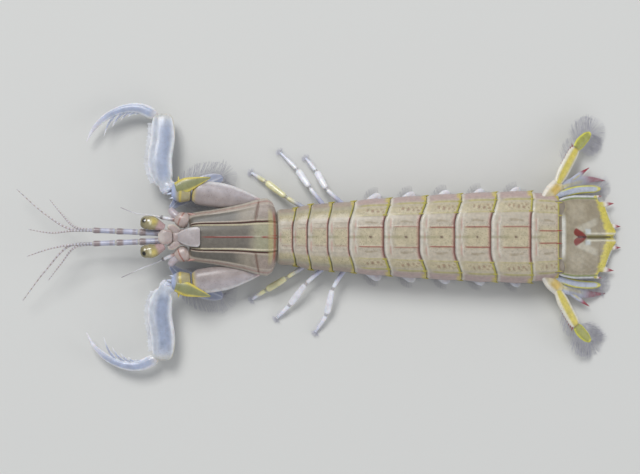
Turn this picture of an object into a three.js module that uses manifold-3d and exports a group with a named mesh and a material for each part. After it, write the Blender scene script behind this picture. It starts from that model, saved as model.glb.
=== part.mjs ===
// A squillid mantis shrimp, life size, lying on its belly with its claws spread and open.
// Millimetres, +Z up, head towards -Y. The floor is z = 0. Every body part is one closed solid.
import * as THREE from "three";
import { mergeVertices } from "three/addons/utils/BufferGeometryUtils.js";
import Module from "manifold-3d";

const wasm = await Module();
wasm.setup();

// Driving dimensions
const GAP = 0.3; // clearance that touching parts keep
const TRIM = 0.42; // growth of a shell that trims its neighbour
const SLIVER = 0.05; // facets that move the surface by less than this are dropped
const PLAN_SHIFT = -6.0; // moves the middle of the plan outline onto the origin
const CARAPACE_FRONT = -30.9;
const CARAPACE_REAR = -5.9;
const TUCK = 1.5; // how far each somite slides under the one in front
const RIM = 0.55; // thickness of a tergite's free rear rim
const BELLY_Z = 5.4; // underside of the trunk
const TELSON_LENGTH = 19.0; // to the roots of the two middle teeth
const TELSON_HALF_WIDTH = 12.1;
const TELSON_TILT = THREE.MathUtils.degToRad(24);
const TELSON_HINGE_Z = 9.5;
const PROPODUS_COMB = 16; // spines in the comb of each claw
const SIDES = [
  ["left", 1],
  ["right", -1],
];

// The trunk's free somites, front to back: length and half width at the rear edge, height of the back
const SOMITES = [
  { name: "thorax_somite_5", length: 4.0, half: 8.3, top: 12.7 },
  { name: "thorax_somite_6", length: 3.9, half: 9.4, top: 13.1 },
  { name: "thorax_somite_7", length: 5.6, half: 9.9, top: 13.5 },
  { name: "thorax_somite_8", length: 5.7, half: 10.3, top: 13.8 },
  { name: "abdomen_somite_1", length: 9.7, half: 11.2, top: 14.2 },
  { name: "abdomen_somite_2", length: 9.9, half: 11.9, top: 14.5 },
  { name: "abdomen_somite_3", length: 9.8, half: 12.5, top: 14.6 },
  { name: "abdomen_somite_4", length: 10.0, half: 13.0, top: 14.5 },
  { name: "abdomen_somite_5", length: 11.3, half: 13.3, top: 14.1 },
  { name: "abdomen_somite_6", length: 7.9, half: 12.3, top: 12.7 },
];
const THORAX_COUNT = 4;
// How far each somite's rear corners lie behind the middle of its rear rim
const REAR_SWEEP = [0.8, 1.0, 1.2, 1.6, 2.0, 2.3, 2.3, 2.2, 0.9, 0.4];
const NECK_SWEEP = -0.4;
const LAST = SOMITES.length - 1;

const shell = { color: 0xa79f92, roughness: 0.45, metalness: 0 };
const FINISH = {
  shell: new THREE.MeshStandardMaterial(shell),
  claw: new THREE.MeshStandardMaterial({ ...shell, color: 0xa9b8d6, roughness: 0.3 }),
  carpus: new THREE.MeshStandardMaterial({ ...shell, color: 0xc9c083 }),
  leg: new THREE.MeshStandardMaterial({ ...shell, color: 0xe4e4e6, roughness: 0.35 }),
  eye: new THREE.MeshStandardMaterial({ ...shell, color: 0xb9a873, roughness: 0.2 }),
  feeler: new THREE.MeshStandardMaterial({ ...shell, color: 0xb4b3c4 }),
  fan: new THREE.MeshStandardMaterial({ ...shell, color: 0xd9cf7c }),
  underside: new THREE.MeshStandardMaterial({ ...shell, color: 0xc9c4bb }),
};

const at = (x, y, z) => new THREE.Vector3(x, y, z);
const lerp = THREE.MathUtils.lerp;

// A value read from stations [[t, value...], ...], eased between them.
function along(stations, t, column = 1) {
  const after = stations.findIndex((s) => s[0] >= t);
  if (after <= 0) return stations[after < 0 ? stations.length - 1 : 0][column];
  const [a, b] = [stations[after - 1], stations[after]];
  const share = (t - a[0]) / (b[0] - a[0]);
  return lerp(a[column], b[column], share * share * (3 - 2 * share));
}

// A closed solid over rings of equally many points, capped at both ends.
function skin(rings) {
  const sides = rings[0].length;
  const steps = rings.length - 1;
  const middle = (ring) =>
    ring.reduce((sum, p) => sum.add(p), at(0, 0, 0)).divideScalar(sides);
  const raw = new THREE.CylinderGeometry(1, 1, 1, sides, steps);
  raw.deleteAttribute("normal");
  raw.deleteAttribute("uv");
  const made = mergeVertices(raw, 1e-5);
  const position = made.getAttribute("position");
  for (let i = 0; i < position.count; i++) {
    const [x, y, z] = [position.getX(i), position.getY(i), position.getZ(i)];
    const ring = rings[Math.round((0.5 - y) * steps)];
    const turn = Math.round((Math.atan2(x, z) / (2 * Math.PI)) * sides);
    const p = Math.hypot(x, z) < 0.5 ? middle(ring) : ring[(turn + sides) % sides];
    position.setXYZ(i, p.x, p.y, p.z);
  }
  return solid(made);
}

// A closed indexed geometry as a manifold-3d solid with its faces pointing out.
function solid(geometry) {
  const vertProperties = new Float32Array(geometry.getAttribute("position").array);
  const triVerts = new Uint32Array(geometry.index.array);
  const made = new wasm.Manifold(new wasm.Mesh({ numProp: 3, vertProperties, triVerts }));
  if (made.volume() > 0) return made;
  for (let i = 0; i < triVerts.length; i += 3) {
    [triVerts[i + 1], triVerts[i + 2]] = [triVerts[i + 2], triVerts[i + 1]];
  }
  return new wasm.Manifold(new wasm.Mesh({ numProp: 3, vertProperties, triVerts }));
}

// Pieces joined into one body, less any cutters; only the largest closed surface is kept.
function fuse(pieces, cutters = []) {
  let made = pieces.reduce((sum, piece) => sum.add(piece));
  for (const cutter of cutters) made = made.subtract(cutter);
  return made.decompose().sort((a, b) => b.volume() - a.volume())[0].simplify(SLIVER);
}

// Rings round a path: stations are [t, half width, half thickness]; grow thickens and lengthens.
function limb(path, stations, { sides = 10, steps = 8, grow = 0, boxy = 1, up = at(0, 0, 1) } = {}) {
  const curve = new THREE.CatmullRomCurve3(path, false, "centripetal");
  const rings = [];
  for (let i = 0; i <= steps; i++) {
    const t = i / steps;
    const tangent = curve.getTangent(t);
    const across = tangent.clone().cross(up).normalize();
    const over = across.clone().cross(tangent).normalize();
    const end = i === 0 ? -grow : i === steps ? grow : 0;
    const centre = curve.getPoint(t).addScaledVector(tangent, end);
    const [a, b] = [along(stations, t, 1) + grow, along(stations, t, 2) + grow];
    const ring = [];
    for (let k = 0; k < sides; k++) {
      const turn = (2 * Math.PI * (k + 0.5)) / sides;
      const [c, s] = [Math.cos(turn), Math.sin(turn)];
      ring.push(
        centre
          .clone()
          .addScaledVector(across, a * Math.sign(c) * Math.abs(c) ** boxy)
          .addScaledVector(over, b * Math.sign(s) * Math.abs(s) ** boxy),
      );
    }
    rings.push(ring);
  }
  return skin(rings);
}

// A straight tapered spine from a sunk root to a fine tip.
function spine(root, tip, radius, sides = 5) {
  return limb([root, root.clone().lerp(tip, 0.5), tip], [[0, radius, radius], [1, 0.08, 0.08]], {
    sides,
    steps: 1,
    up: at(0.2, 0.1, 1),
  });
}

const mirrored = (points, side) => points.map(([x, y, z]) => at(x * side, y, z));

const root = new THREE.Group();
root.position.y = PLAN_SHIFT;

function show(name, made, finish) {
  const { vertProperties, triVerts } = made.getMesh();
  const geometry = new THREE.BufferGeometry();
  geometry.setAttribute("position", new THREE.BufferAttribute(new Float32Array(vertProperties), 3));
  geometry.setIndex(new THREE.BufferAttribute(new Uint32Array(triVerts), 1));
  geometry.computeVertexNormals();
  const mesh = new THREE.Mesh(geometry, finish);
  mesh.name = name;
  root.add(mesh);
}

// Half outline of the trunk's section: share of the half width, then height between belly and back
const TERGITE = [
  [0, 1, "back"],
  [0.4, 0.965, "back"],
  [0.72, 0.84, "back"],
  [0.92, 0.54, "back"],
  [1, 0.1, "back"],
  [0.96, 1, "pleuron"],
  [0.86, 0, "pleuron"],
  [0, 0, "pleuron"],
];
const PLEURON_DROP = 1.7; // how far the side flaps hang below the belly

function tergiteRing({ y, half, top, belly = BELLY_Z, drop = PLEURON_DROP, sweep = 0 }) {
  const points = TERGITE.map(([share, level, part]) => {
    const z = part === "back" ? lerp(belly, top, level) : belly - drop * level;
    const back = sweep * THREE.MathUtils.smoothstep(share, 0.3, 1);
    return at(share * half, y + back, z);
  });
  const other = points.slice(1, -1).reverse();
  return [...points, ...other.map((p) => at(-p.x, p.y, p.z))];
}

// The front collar of a somite, which slides under the rim of the one before it.
function collar(somite, grow = 0) {
  const inset = RIM + GAP - grow;
  const ring = (y) =>
    tergiteRing({
      y,
      half: somite.frontHalf - inset - 0.2,
      top: somite.frontTop - inset,
      belly: BELLY_Z + 0.4 - grow,
      drop: 0,
    });
  return skin([ring(somite.front - TUCK - grow), ring(somite.front + 3.4)]);
}

// Fills in where each somite starts and ends.
function placeSomites() {
  let front = CARAPACE_REAR + GAP;
  let before = { half: 8.0, top: 12.9 };
  for (const somite of SOMITES) {
    somite.front = front;
    somite.rear = front + somite.length;
    somite.frontHalf = before.half;
    somite.frontTop = before.top;
    front = somite.rear + GAP;
    before = somite;
  }
}

// The outer wall of a somite; its rear corners sweep back over the next one.
function somiteShell(somite, index, grow = 0) {
  const thoracic = index < THORAX_COUNT;
  const { front, rear, half, top } = somite;
  const sweep = REAR_SWEEP[index];
  const ahead = index ? REAR_SWEEP[index - 1] : NECK_SWEEP;
  const rings = [
    { y: front - grow, half: somite.frontHalf * 0.985, top: somite.frontTop - 0.25, sweep: ahead },
    { y: lerp(front, rear, 0.3), half: half * 0.985, top: top - 0.1, sweep: lerp(ahead, sweep, 0.3) },
    { y: rear + grow, half, top, sweep },
  ];
  const drop = thoracic ? 0.5 : PLEURON_DROP;
  const grown = rings.map((ring) => ({ ...ring, half: ring.half + grow, top: ring.top + grow }));
  return skin(grown.map((ring) => tergiteRing({ ...ring, drop, belly: BELLY_Z - grow })));
}

function somiteBody(somite, index) {
  const thoracic = index < THORAX_COUNT;
  const { rear, half, top } = somite;
  const sweep = REAR_SWEEP[index];
  const pieces = [somiteShell(somite, index), collar(somite)];
  for (const side of [1, -1]) {
    const corner = at(side * half * 0.97, rear + sweep - 0.7, BELLY_Z + (index === LAST ? -0.4 : 0.3));
    pieces.push(spine(corner, corner.clone().add(at(side * 0.8, 1.9, -0.5)), 0.6));
    if (!thoracic) {
      const level = lerp(BELLY_Z, top, 0.72);
      const keel = at(side * half * 0.78, rear + 0.75 * sweep - 0.8, level);
      pieces.push(spine(keel, keel.clone().add(at(side * 0.1, 1.5, 0.15)), 0.4));
    }
  }
  return pieces;
}

function trunk() {
  placeSomites();
  SOMITES.forEach((somite, i) => {
    const cutters = [];
    const next = SOMITES[i + 1];
    if (next) cutters.push(collar(next, GAP), somiteShell(next, i + 1, TRIM));
    show(somite.name, fuse(somiteBody(somite, i), cutters), FINISH.shell);
  });
}

// Half outline of the carapace's section: share of the half width, then drop below the crown
const CARAPACE_SECTION = [
  [0, 0],
  [0.2, 0.05],
  [0.38, 0.25],
  [0.46, 0.85],
  [0.55, 0.55],
  [0.72, 0.9],
  [0.88, 1.7],
  [1, 3.0],
  [0.985, 3.7],
  [0.8, 3.6],
  [0.6, 4.2],
  [0.5, 6.4],
  [0.25, 6.9],
  [0, 7.0],
];
// Along the carapace: share of its length, half width, height of the crown
const CARAPACE_PLAN = [
  [0, 6.6, 11.7],
  [0.05, 7.1, 11.9],
  [0.3, 8.1, 12.5],
  [0.6, 9.6, 13.1],
  [0.8, 10.9, 13.5],
  [0.92, 11.2, 13.5],
  [1, 10.2, 13.3],
];

function carapaceBody(grow = 0) {
  const rings = CARAPACE_PLAN.map(([share, half, crown], i) => {
    const last = i === CARAPACE_PLAN.length - 1;
    const end = i === 0 ? -grow : last ? grow : 0;
    const points = CARAPACE_SECTION.map(([across, drop], k) => {
      const swell = (k === 0 ? 1 : k >= 8 ? -1 : 1 - k / 8) * grow;
      const round = last ? -1.6 * across ** 4 : 0;
      const y = lerp(CARAPACE_FRONT, CARAPACE_REAR, share) + end + round;
      return at(across * half + (across > 0 ? grow : 0), y, crown - drop + swell);
    });
    const other = points.slice(1, -1).reverse();
    return [...points, ...other.map((p) => at(-p.x, p.y, p.z))];
  });
  return skin(rings);
}

// The small shield hinged on the front edge of the carapace.
function rostralPlate(grow = 0) {
  const path = [at(0, -27.9, 12.55), at(0, -31, 12.3), at(0, -34.3, 11.3)];
  const widths = [[0, 2.5, 0.45], [0.2, 2.85, 0.6], [0.7, 1.9, 0.6], [1, 0.7, 0.35]];
  return limb(path, widths, { sides: 12, steps: 5, grow, boxy: 0.8 });
}

function antennularSomite(grow = 0) {
  const path = [at(0, -31.6, 9.6), at(0, -34.5, 9.6), at(0, -37.3, 9.4)];
  const middle = limb(path, [[0, 2.3, 1.3], [0.6, 2.0, 1.3], [1, 1.5, 1.0]], { grow, steps: 3 });
  const processes = SIDES.map(([, side]) =>
    limb(mirrored([[1.5, -34.4, 10.2], [2.4, -36, 10.6], [3.1, -37.4, 10.7]], side), [
      [0, 0.8, 0.5],
      [0.6, 1.0, 0.5],
      [1, 0.5, 0.35],
    ], { grow, steps: 3, sides: 8 }),
  );
  return fuse([middle, ...processes]);
}

function ophthalmicSomite(grow = 0) {
  const path = [at(0, -36.2, 11.3), at(0, -38, 11.5), at(0, -40.1, 11.2)];
  return limb(path, [[0, 1.4, 0.5], [0.5, 2.2, 0.75], [1, 1.3, 0.45]], { grow, steps: 4 });
}

const EYE_STATIONS = [
  [0, 0.9, 0.9],
  [0.25, 1.45, 1.4],
  [0.6, 2.05, 1.75],
  [0.85, 1.8, 1.6],
  [1, 0.8, 0.8],
];

function eye(side, grow = 0) {
  const path = mirrored([[2.6, -38.4, 10.9], [3.9, -41.6, 11.3], [4.3, -45.3, 11.6]], side);
  return limb(path, EYE_STATIONS, { sides: 12, steps: 7, grow });
}

// First antennae: a three-jointed stalk and three whips, whose tips differ from side to side
const ANTENNULE_TIPS = {
  left: [
    [[2.6, -66, 9.6], [9.5, -73, 8.2], [18.6, -80.4, 5.2]],
    [[3.0, -64.5, 9.4], [7.6, -68.5, 8.6], [12.6, -72.6, 7.0]],
    [[2.2, -65, 9.9], [3.4, -71.5, 10.6], [5.6, -78.2, 10.4]],
  ],
  right: [
    [[2.4, -66, 9.6], [6.8, -73.5, 8.4], [14.0, -82.2, 5.4]],
    [[2.9, -64.5, 9.4], [6.6, -68.4, 8.8], [11.0, -72.2, 7.4]],
    [[1.8, -65, 9.9], [1.2, -71, 10.8], [2.2, -77.6, 11.0]],
  ],
};
const ANTENNULE_JOINTS = [-39.6, -46, -52.6, -59.3];

function antennule(name, side) {
  const pieces = [];
  for (let i = 0; i < 3; i++) {
    const [near, far] = [ANTENNULE_JOINTS[i], ANTENNULE_JOINTS[i + 1]];
    const x = (y) => 1.15 + 0.04 * (-39.6 - y);
    const z = 9.5;
    const path = [near + 0.35, (near + far) / 2, far - 0.35].map((y) => at(side * x(y), y, z));
    const r = 0.95 - 0.08 * i;
    const stations = [[0, r * 0.8, r * 0.8], [0.15, r, r], [0.85, r, r], [1, r * 0.85, r * 0.85]];
    pieces.push(limb(path, stations, { sides: 8, steps: 4 }));
  }
  const stem = at(side * 1.9, ANTENNULE_JOINTS[3] + 1.2, 9.5);
  for (const tip of ANTENNULE_TIPS[name]) {
    const path = [stem, ...mirrored(tip, side)];
    pieces.push(limb(path, [[0, 0.42, 0.42], [0.4, 0.3, 0.3], [1, 0.14, 0.14]], { sides: 4, steps: 8 }));
  }
  return fuse(pieces);
}

// Second antennae: knob, side arm for the scale, two joints and one whip
const ANTENNA_TIPS = {
  left: [[5.6, -37, 8.8], [7.4, -41.2, 8.4], [9.4, -46, 7.8], [11.8, -51.4, 6.8]],
  right: [[5.2, -37, 8.8], [6.2, -42, 8.6], [6.9, -47, 8.2], [8.6, -51.6, 7.4]],
};

function antenna(name, side) {
  const knob = limb(
    mirrored([[4.4, -31.6, 8.9], [4.9, -33.4, 9.0], [5.0, -35.4, 8.8]], side),
    [[0, 1.3, 1.2], [0.5, 2.15, 1.6], [1, 1.2, 1.0]],
    { steps: 5 },
  );
  const arm = limb(
    mirrored([[5.0, -34.0, 8.7], [6.4, -35.6, 8.4], [7.6, -37.0, 8.0]], side),
    [[0, 1.3, 1.1], [0.7, 1.1, 1.0], [1, 0.6, 0.6]],
    { steps: 4, sides: 8 },
  );
  const whip = limb(
    mirrored([[5.0, -34.6, 9.0], ...ANTENNA_TIPS[name]], side),
    [[0, 0.75, 0.7], [0.35, 0.6, 0.55], [0.4, 0.3, 0.3], [1, 0.13, 0.13]],
    { steps: 8, sides: 5 },
  );
  return fuse([knob, arm, whip]);
}

// The broad leaf of the second antenna, folded back under the claw.
const SCALE_PATH = [[8.3, -37.0, 7.3], [11.0, -34.4, 5.0], [14.6, -29.0, 3.2], [17.6, -22.2, 2.4]];

function antennalScale(side) {
  return limb(
    mirrored(SCALE_PATH, side),
    [[0, 0.7, 0.45], [0.2, 1.4, 0.4], [0.65, 2.9, 0.32], [0.9, 2.1, 0.28], [1, 0.7, 0.25]],
    { steps: 8, sides: 8 },
  );
}

// The claw: merus beside the carapace, cup-like carpus, broad propodus, toothed dactylus
const MERUS_PATH = [[9.6, -10.6, 7.4], [11.6, -20, 7.7], [13.2, -30.6, 8.2]];
const CARPUS_PATH = [[12.7, -31.0, 8.6], [13.0, -33.8, 8.7], [13.1, -36.4, 8.5]];
const PROPODUS_PATH = [
  [13.2, -36.9, 8.2],
  [16.4, -38.9, 7.8],
  [22.0, -40.2, 7.0],
  [29.0, -39.4, 5.9],
  [36.0, -39.6, 5.0],
];
const PROPODUS_STATIONS = [
  [0, 1.7, 1.5],
  [0.1, 2.5, 1.8],
  [0.17, 2.2, 1.7],
  [0.3, 3.1, 1.9],
  [0.5, 3.6, 2.0],
  [0.8, 3.5, 2.0],
  [0.95, 2.9, 1.8],
  [1, 1.9, 1.2],
];
const DACTYLUS_PATH = [
  [35.3, -41.2, 5.0],
  [37.5, -46.2, 4.9],
  [37.4, -50.8, 4.8],
  [35.2, -56.0, 4.6],
  [31.6, -59.9, 4.3],
  [27.9, -62.0, 3.9],
];
// Each tooth: where it leaves the dactylus, as a share of its length, and its own length
const DACTYLUS_TEETH = [
  [0.18, 1.6],
  [0.24, 2.7],
  [0.31, 3.9],
  [0.4, 5.4],
  [0.5, 6.9],
];

function merus(side, grow = 0) {
  return limb(
    mirrored(MERUS_PATH, side),
    [[0, 1.2, 1.3], [0.2, 2.3, 2.0], [0.65, 3.7, 2.5], [0.9, 3.6, 2.4], [1, 2.6, 1.9]],
    { steps: 7, sides: 12, grow, boxy: 0.85 },
  );
}

function carpus(side, grow = 0) {
  const cup = limb(
    mirrored(CARPUS_PATH, side),
    [[0, 2.2, 1.9], [0.5, 3.0, 2.4], [1, 2.1, 1.8]],
    { steps: 5, sides: 12, grow, boxy: 0.85 },
  );
  const ridge = limb(
    mirrored([[14.0, -35.2, 10.3], [15.4, -31.0, 10.6], [17.2, -25.2, 9.7]], side),
    [[0, 1.7, 0.9], [0.35, 2.1, 0.7], [1, 0.15, 0.15]],
    { steps: 5, sides: 8, grow },
  );
  const tooth = spine(...mirrored([[14.8, -34.2, 9.2], [17.6, -34.6, 9.4]], side), 0.8);
  return fuse([cup, ridge, tooth]);
}

function propodus(side) {
  const path = mirrored(PROPODUS_PATH, side);
  const paddle = limb(path, PROPODUS_STATIONS, { steps: 12, sides: 10, boxy: 0.85 });
  const curve = new THREE.CatmullRomCurve3(path, false, "centripetal");
  const comb = [];
  for (let i = 0; i < PROPODUS_COMB; i++) {
    const t = lerp(0.28, 0.86, i / (PROPODUS_COMB - 1));
    const tangent = curve.getTangent(t);
    const forward = at(tangent.y, -tangent.x, 0).normalize().multiplyScalar(side);
    const edge = curve.getPoint(t).addScaledVector(forward, along(PROPODUS_STATIONS, t) - 0.5);
    const tip = edge.clone().addScaledVector(forward, 1.35);
    comb.push(spine(edge, tip, 0.32, 3));
  }
  return fuse([paddle, ...comb]);
}

function dactylus(side, cutter) {
  const path = mirrored(DACTYLUS_PATH, side);
  const stations = [[0, 1.1, 1.0], [0.08, 1.7, 1.2], [0.25, 1.5, 1.0], [0.6, 1.0, 0.75], [1, 0.1, 0.1]];
  const blade = limb(path, stations, { steps: 11, sides: 8 });
  const curve = new THREE.CatmullRomCurve3(path, false, "centripetal");
  const teeth = DACTYLUS_TEETH.map(([t, length]) => {
    const tangent = curve.getTangent(t);
    const inward = at(tangent.y, -tangent.x, 0).normalize().multiplyScalar(side);
    const root = curve.getPoint(t).addScaledVector(inward, along(stations, t) - 0.55);
    const step = (ahead, aside) =>
      root.clone().addScaledVector(tangent, length * ahead).addScaledVector(inward, length * aside);
    return limb([root, step(0.48, 0.28), step(0.86, 0.68)], [[0, 0.5, 0.46], [0.5, 0.34, 0.32], [1, 0.08, 0.08]], {
      sides: 5,
      steps: 3,
    });
  });
  return fuse([blade, ...teeth], [cutter]);
}

// The mouth field and the bases of the small claws, under the carapace.
function undersideBlock(grow = 0) {
  const path = [at(0, -29.6, 7.0), at(0, -22, 5.0), at(0, -7.6, 4.4)];
  return limb(path, [[0, 1.8, 1.0], [0.2, 3.2, 1.6], [0.7, 4.0, 1.7], [1, 3.4, 1.4]], {
    steps: 6,
    sides: 10,
    grow,
    boxy: 0.8,
  });
}

// The small claws: three pairs, each elbowed and ending in a round hand
function maxilliped(index, side) {
  const rear = -9.4 - 6.2 * index;
  const path = [
    [2.6, rear, 3.0],
    [6.2, rear - 0.6, 2.2],
    [7.4, rear - 2.6, 1.7],
    [5.2, rear - 3.8, 1.7],
    [3.0, rear - 4.2, 2.0],
  ];
  const stations = [[0, 0.8, 0.75], [0.4, 0.6, 0.65], [0.6, 0.5, 0.55], [0.8, 0.95, 0.7], [1, 0.3, 0.3]];
  return limb(mirrored(path, side), stations, { steps: 8, sides: 6 });
}

// Walking legs: root, two joints and foot, seen from above, then heights
const LEG_PATHS = {
  left: [
    [[8.0, 2.6, 5.4], [11.8, -3.2, 4.6], [15.6, -9.4, 2.6], [18.2, -13.4, 0.75]],
    [[8.3, 8.2, 5.4], [13.6, 2.4, 4.8], [20.0, -2.6, 2.4], [23.8, -6.2, 0.75]],
    [[8.6, 14.2, 5.4], [15.0, 10.2, 4.8], [22.8, 8.2, 2.4], [27.8, 5.2, 0.75]],
  ],
  right: [
    [[8.0, 2.6, 5.4], [11.6, -3.4, 4.6], [16.2, -9.6, 2.6], [18.8, -13.6, 0.75]],
    [[8.3, 8.2, 5.4], [14.4, 3.4, 4.8], [19.8, -0.4, 2.4], [24.8, -5.2, 0.75]],
    [[8.6, 14.2, 5.4], [14.0, 8.4, 4.8], [19.4, 5.2, 2.4], [23.0, 2.4, 0.75]],
  ],
};
const LEG_STATIONS = [
  [0, 0.75, 0.75],
  [0.3, 0.6, 0.6],
  [0.38, 0.85, 0.6],
  [0.66, 1.0, 0.55],
  [0.72, 0.6, 0.45],
  [1, 0.3, 0.3],
];

function walkingLeg(name, side, index) {
  const path = mirrored(LEG_PATHS[name][index], side);
  const foot = path[path.length - 1];
  const flat = new THREE.CylinderGeometry(0.55, 0.75, 0.9, 6);
  flat.rotateX(Math.PI / 2);
  flat.translate(foot.x, foot.y, 0.45);
  flat.deleteAttribute("normal");
  flat.deleteAttribute("uv");
  const below = boxAt([foot.x - 4, foot.y - 4, -3], [foot.x + 4, foot.y + 4, 0]);
  return fuse([limb(path, LEG_STATIONS, { steps: 9, sides: 6 }), solid(mergeVertices(flat, 1e-5))], [below]);
}

function boxAt([x0, y0, z0], [x1, y1, z1]) {
  const box = new THREE.BoxGeometry(x1 - x0, y1 - y0, z1 - z0);
  box.translate((x0 + x1) / 2, (y0 + y1) / 2, (z0 + z1) / 2);
  box.deleteAttribute("normal");
  box.deleteAttribute("uv");
  return solid(mergeVertices(box, 1e-5));
}

// The tail fan is drawn flat behind its hinge, then tilted down about it.
const HINGE = { y: 0, z: 0 };

function tilt(p) {
  const [c, s] = [Math.cos(TELSON_TILT), Math.sin(TELSON_TILT)];
  return at(p.x, HINGE.y + p.y * c + p.z * s, HINGE.z - p.y * s + p.z * c);
}

// Along the telson: share of its length, half width, height of the crown over the edge
const TELSON_PLAN = [
  [0, 0.9, 1.9],
  [0.12, 0.96, 2.1],
  [0.32, 1.0, 1.9],
  [0.58, 1.0, 1.5],
  [0.69, 0.985, 1.3],
  [0.725, 0.87, 1.2],
  [0.83, 0.79, 1.05],
  [0.87, 0.64, 1.0],
  [0.95, 0.36, 0.75],
  [1, 0.26, 0.6],
];
// Marginal teeth: root [x, y], tip [x, y] and radius, in the flat-drawn fan
const TELSON_TEETH = [
  [[11.3, 12.0], [12.0, 15.0], 0.6],
  [[8.8, 13.4], [9.9, 19.3], 1.25],
  [[2.7, 16.8], [3.1, 21.7], 1.1],
];

function telson() {
  const rings = TELSON_PLAN.map(([share, half, crown]) => {
    const y = share * TELSON_LENGTH;
    const ring = [];
    const shares = [0, 0.12, 0.35, 0.62, 0.85, 1];
    const power = lerp(3.2, 2, Math.min(share / 0.4, 1));
    const arch = (a) => crown * (1 - a ** power) + (a < 0.1 ? 0.5 * Math.min(share / 0.3, 1) : 0);
    for (const a of shares) ring.push(at(a * half * TELSON_HALF_WIDTH, y, 0.35 + arch(a)));
    for (const a of [...shares].reverse()) {
      ring.push(at(a * half * TELSON_HALF_WIDTH * 0.97, y, -0.45 + 0.35 * crown * (1 - a * a)));
    }
    const other = ring.slice(1, -1).reverse();
    return [...ring, ...other.map((p) => at(-p.x, p.y, p.z))];
  });
  const pieces = [skin(rings.map((ring) => ring.map(tilt)))];
  for (const [, side] of SIDES) {
    for (const [[x0, y0], [x1, y1], radius] of TELSON_TEETH) {
      const middle = at(side * ((x0 + x1) / 2 + 0.2), (y0 + y1) / 2, 0.15);
      const path = [at(side * x0, y0, 0.2), middle, at(side * x1, y1, 0.1)];
      const stations = [[0, radius, 0.5], [0.6, radius * 0.6, 0.4], [1, 0.08, 0.08]];
      pieces.push(limb(path.map(tilt), stations, { sides: 6, steps: 3 }));
    }
    const count = 4;
    for (let i = 0; i < count; i++) {
      const share = lerp(0.875, 0.96, i / (count - 1));
      const x = side * along(TELSON_PLAN, share) * TELSON_HALF_WIDTH;
      const y = share * TELSON_LENGTH;
      pieces.push(spine(tilt(at(x * 0.9, y - 1.1, 0.1)), tilt(at(x, y + 0.9, 0.1)), 0.42, 3));
    }
    const inner = [-1.2, 0.7].map((beyond) => tilt(at(side * 1.2, TELSON_LENGTH + beyond, 0.1)));
    pieces.push(spine(...inner, 0.5, 4));
  }
  const notch = boxAt([-0.35, TELSON_LENGTH - 1.7, -3], [0.35, TELSON_LENGTH + 3, 3]);
  return fuse(pieces, [turned(notch)]);
}

// A flat-drawn solid turned with the tail fan.
function turned(piece) {
  const degrees = THREE.MathUtils.radToDeg(TELSON_TILT);
  return piece.rotate([-degrees, 0, 0]).translate([0, HINGE.y, HINGE.z]);
}

// Tail legs: base with its forked prong, two-jointed outer blade, inner blade
function fanPiece(path, stations, side, options) {
  const flat = mirrored(path, side).map(tilt);
  return limb(flat, stations, options);
}

function uropodBlock(side, grow = 0) {
  return fanPiece(
    [[10.6, -3.6, -1.9], [13.2, -0.6, -2.2], [15.6, 2.2, -2.2]],
    [[0, 1.4, 1.1], [0.5, 2.3, 1.3], [1, 2.1, 1.0]],
    side,
    { steps: 4, sides: 10, grow },
  );
}

// The forked prong that reaches back from the base, under the blades.
function uropodProngs(side, grow = 0) {
  const inner = fanPiece(
    [[14.2, 0.8, -2.3], [15.6, 7.0, -2.5], [16.8, 12.4, -2.6], [16.7, 18.0, -2.6]],
    [[0, 1.7, 0.55], [0.4, 1.7, 0.5], [0.65, 1.1, 0.45], [1, 0.12, 0.12]],
    side,
    { steps: 7, sides: 8, grow },
  );
  const outer = fanPiece(
    [[15.8, 5.6, -2.5], [18.2, 9.0, -2.6], [20.4, 12.6, -2.7]],
    [[0, 1.0, 0.45], [0.5, 0.7, 0.4], [1, 0.1, 0.1]],
    side,
    { steps: 4, sides: 6, grow },
  );
  return [inner, outer];
}

function uropodBase(side) {
  const saw = [];
  for (let i = 0; i < 6; i++) {
    const y = 3.0 + 1.15 * i;
    const x = 13.25 + 0.14 * y + (i > 3 ? 0.25 : 0);
    saw.push(spine(...mirrored([[x + 0.4, y, -2.5], [x - 0.7, y + 0.7, -2.5]], side).map(tilt), 0.32, 3));
  }
  return fuse([uropodBlock(side), ...uropodProngs(side), ...saw]);
}

function uropodExopod(side) {
  const near = fanPiece(
    [[15.4, 0.9, -1.9], [21.4, 4.4, -1.7], [26.0, 7.4, -1.7]],
    [[0, 1.2, 0.8], [0.3, 1.9, 0.8], [0.8, 1.8, 0.7], [1, 1.5, 0.55]],
    side,
    { steps: 6, sides: 10 },
  );
  const far = fanPiece(
    [[25.6, 7.0, -1.7], [28.2, 9.6, -1.9], [30.6, 12.6, -2.1]],
    [[0, 1.2, 0.5], [0.45, 1.7, 0.45], [0.85, 1.2, 0.35], [1, 0.4, 0.25]],
    side,
    { steps: 5, sides: 8 },
  );
  const spines = [];
  for (let i = 0; i < 7; i++) {
    const t = 0.3 + 0.1 * i;
    const [x, y] = [lerp(17.4, 26.0, t) + 1.0, lerp(1.9, 7.4, t) - 1.5];
    const ends = mirrored([[x - 0.3, y + 0.5, -1.7], [x + 1.0, y + 0.1, -1.7]], side);
    spines.push(spine(...ends.map(tilt), 0.32, 3));
  }
  return fuse([near, far, ...spines]);
}

function uropodEndopod(side) {
  return fanPiece(
    [[11.2, -1.4, -1.4], [13.6, 7.0, -1.55], [14.2, 15.8, -1.6]],
    [[0, 0.6, 0.4], [0.4, 1.2, 0.4], [0.85, 1.1, 0.35], [1, 0.4, 0.25]],
    side,
    { steps: 6, sides: 8 },
  );
}

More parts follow.
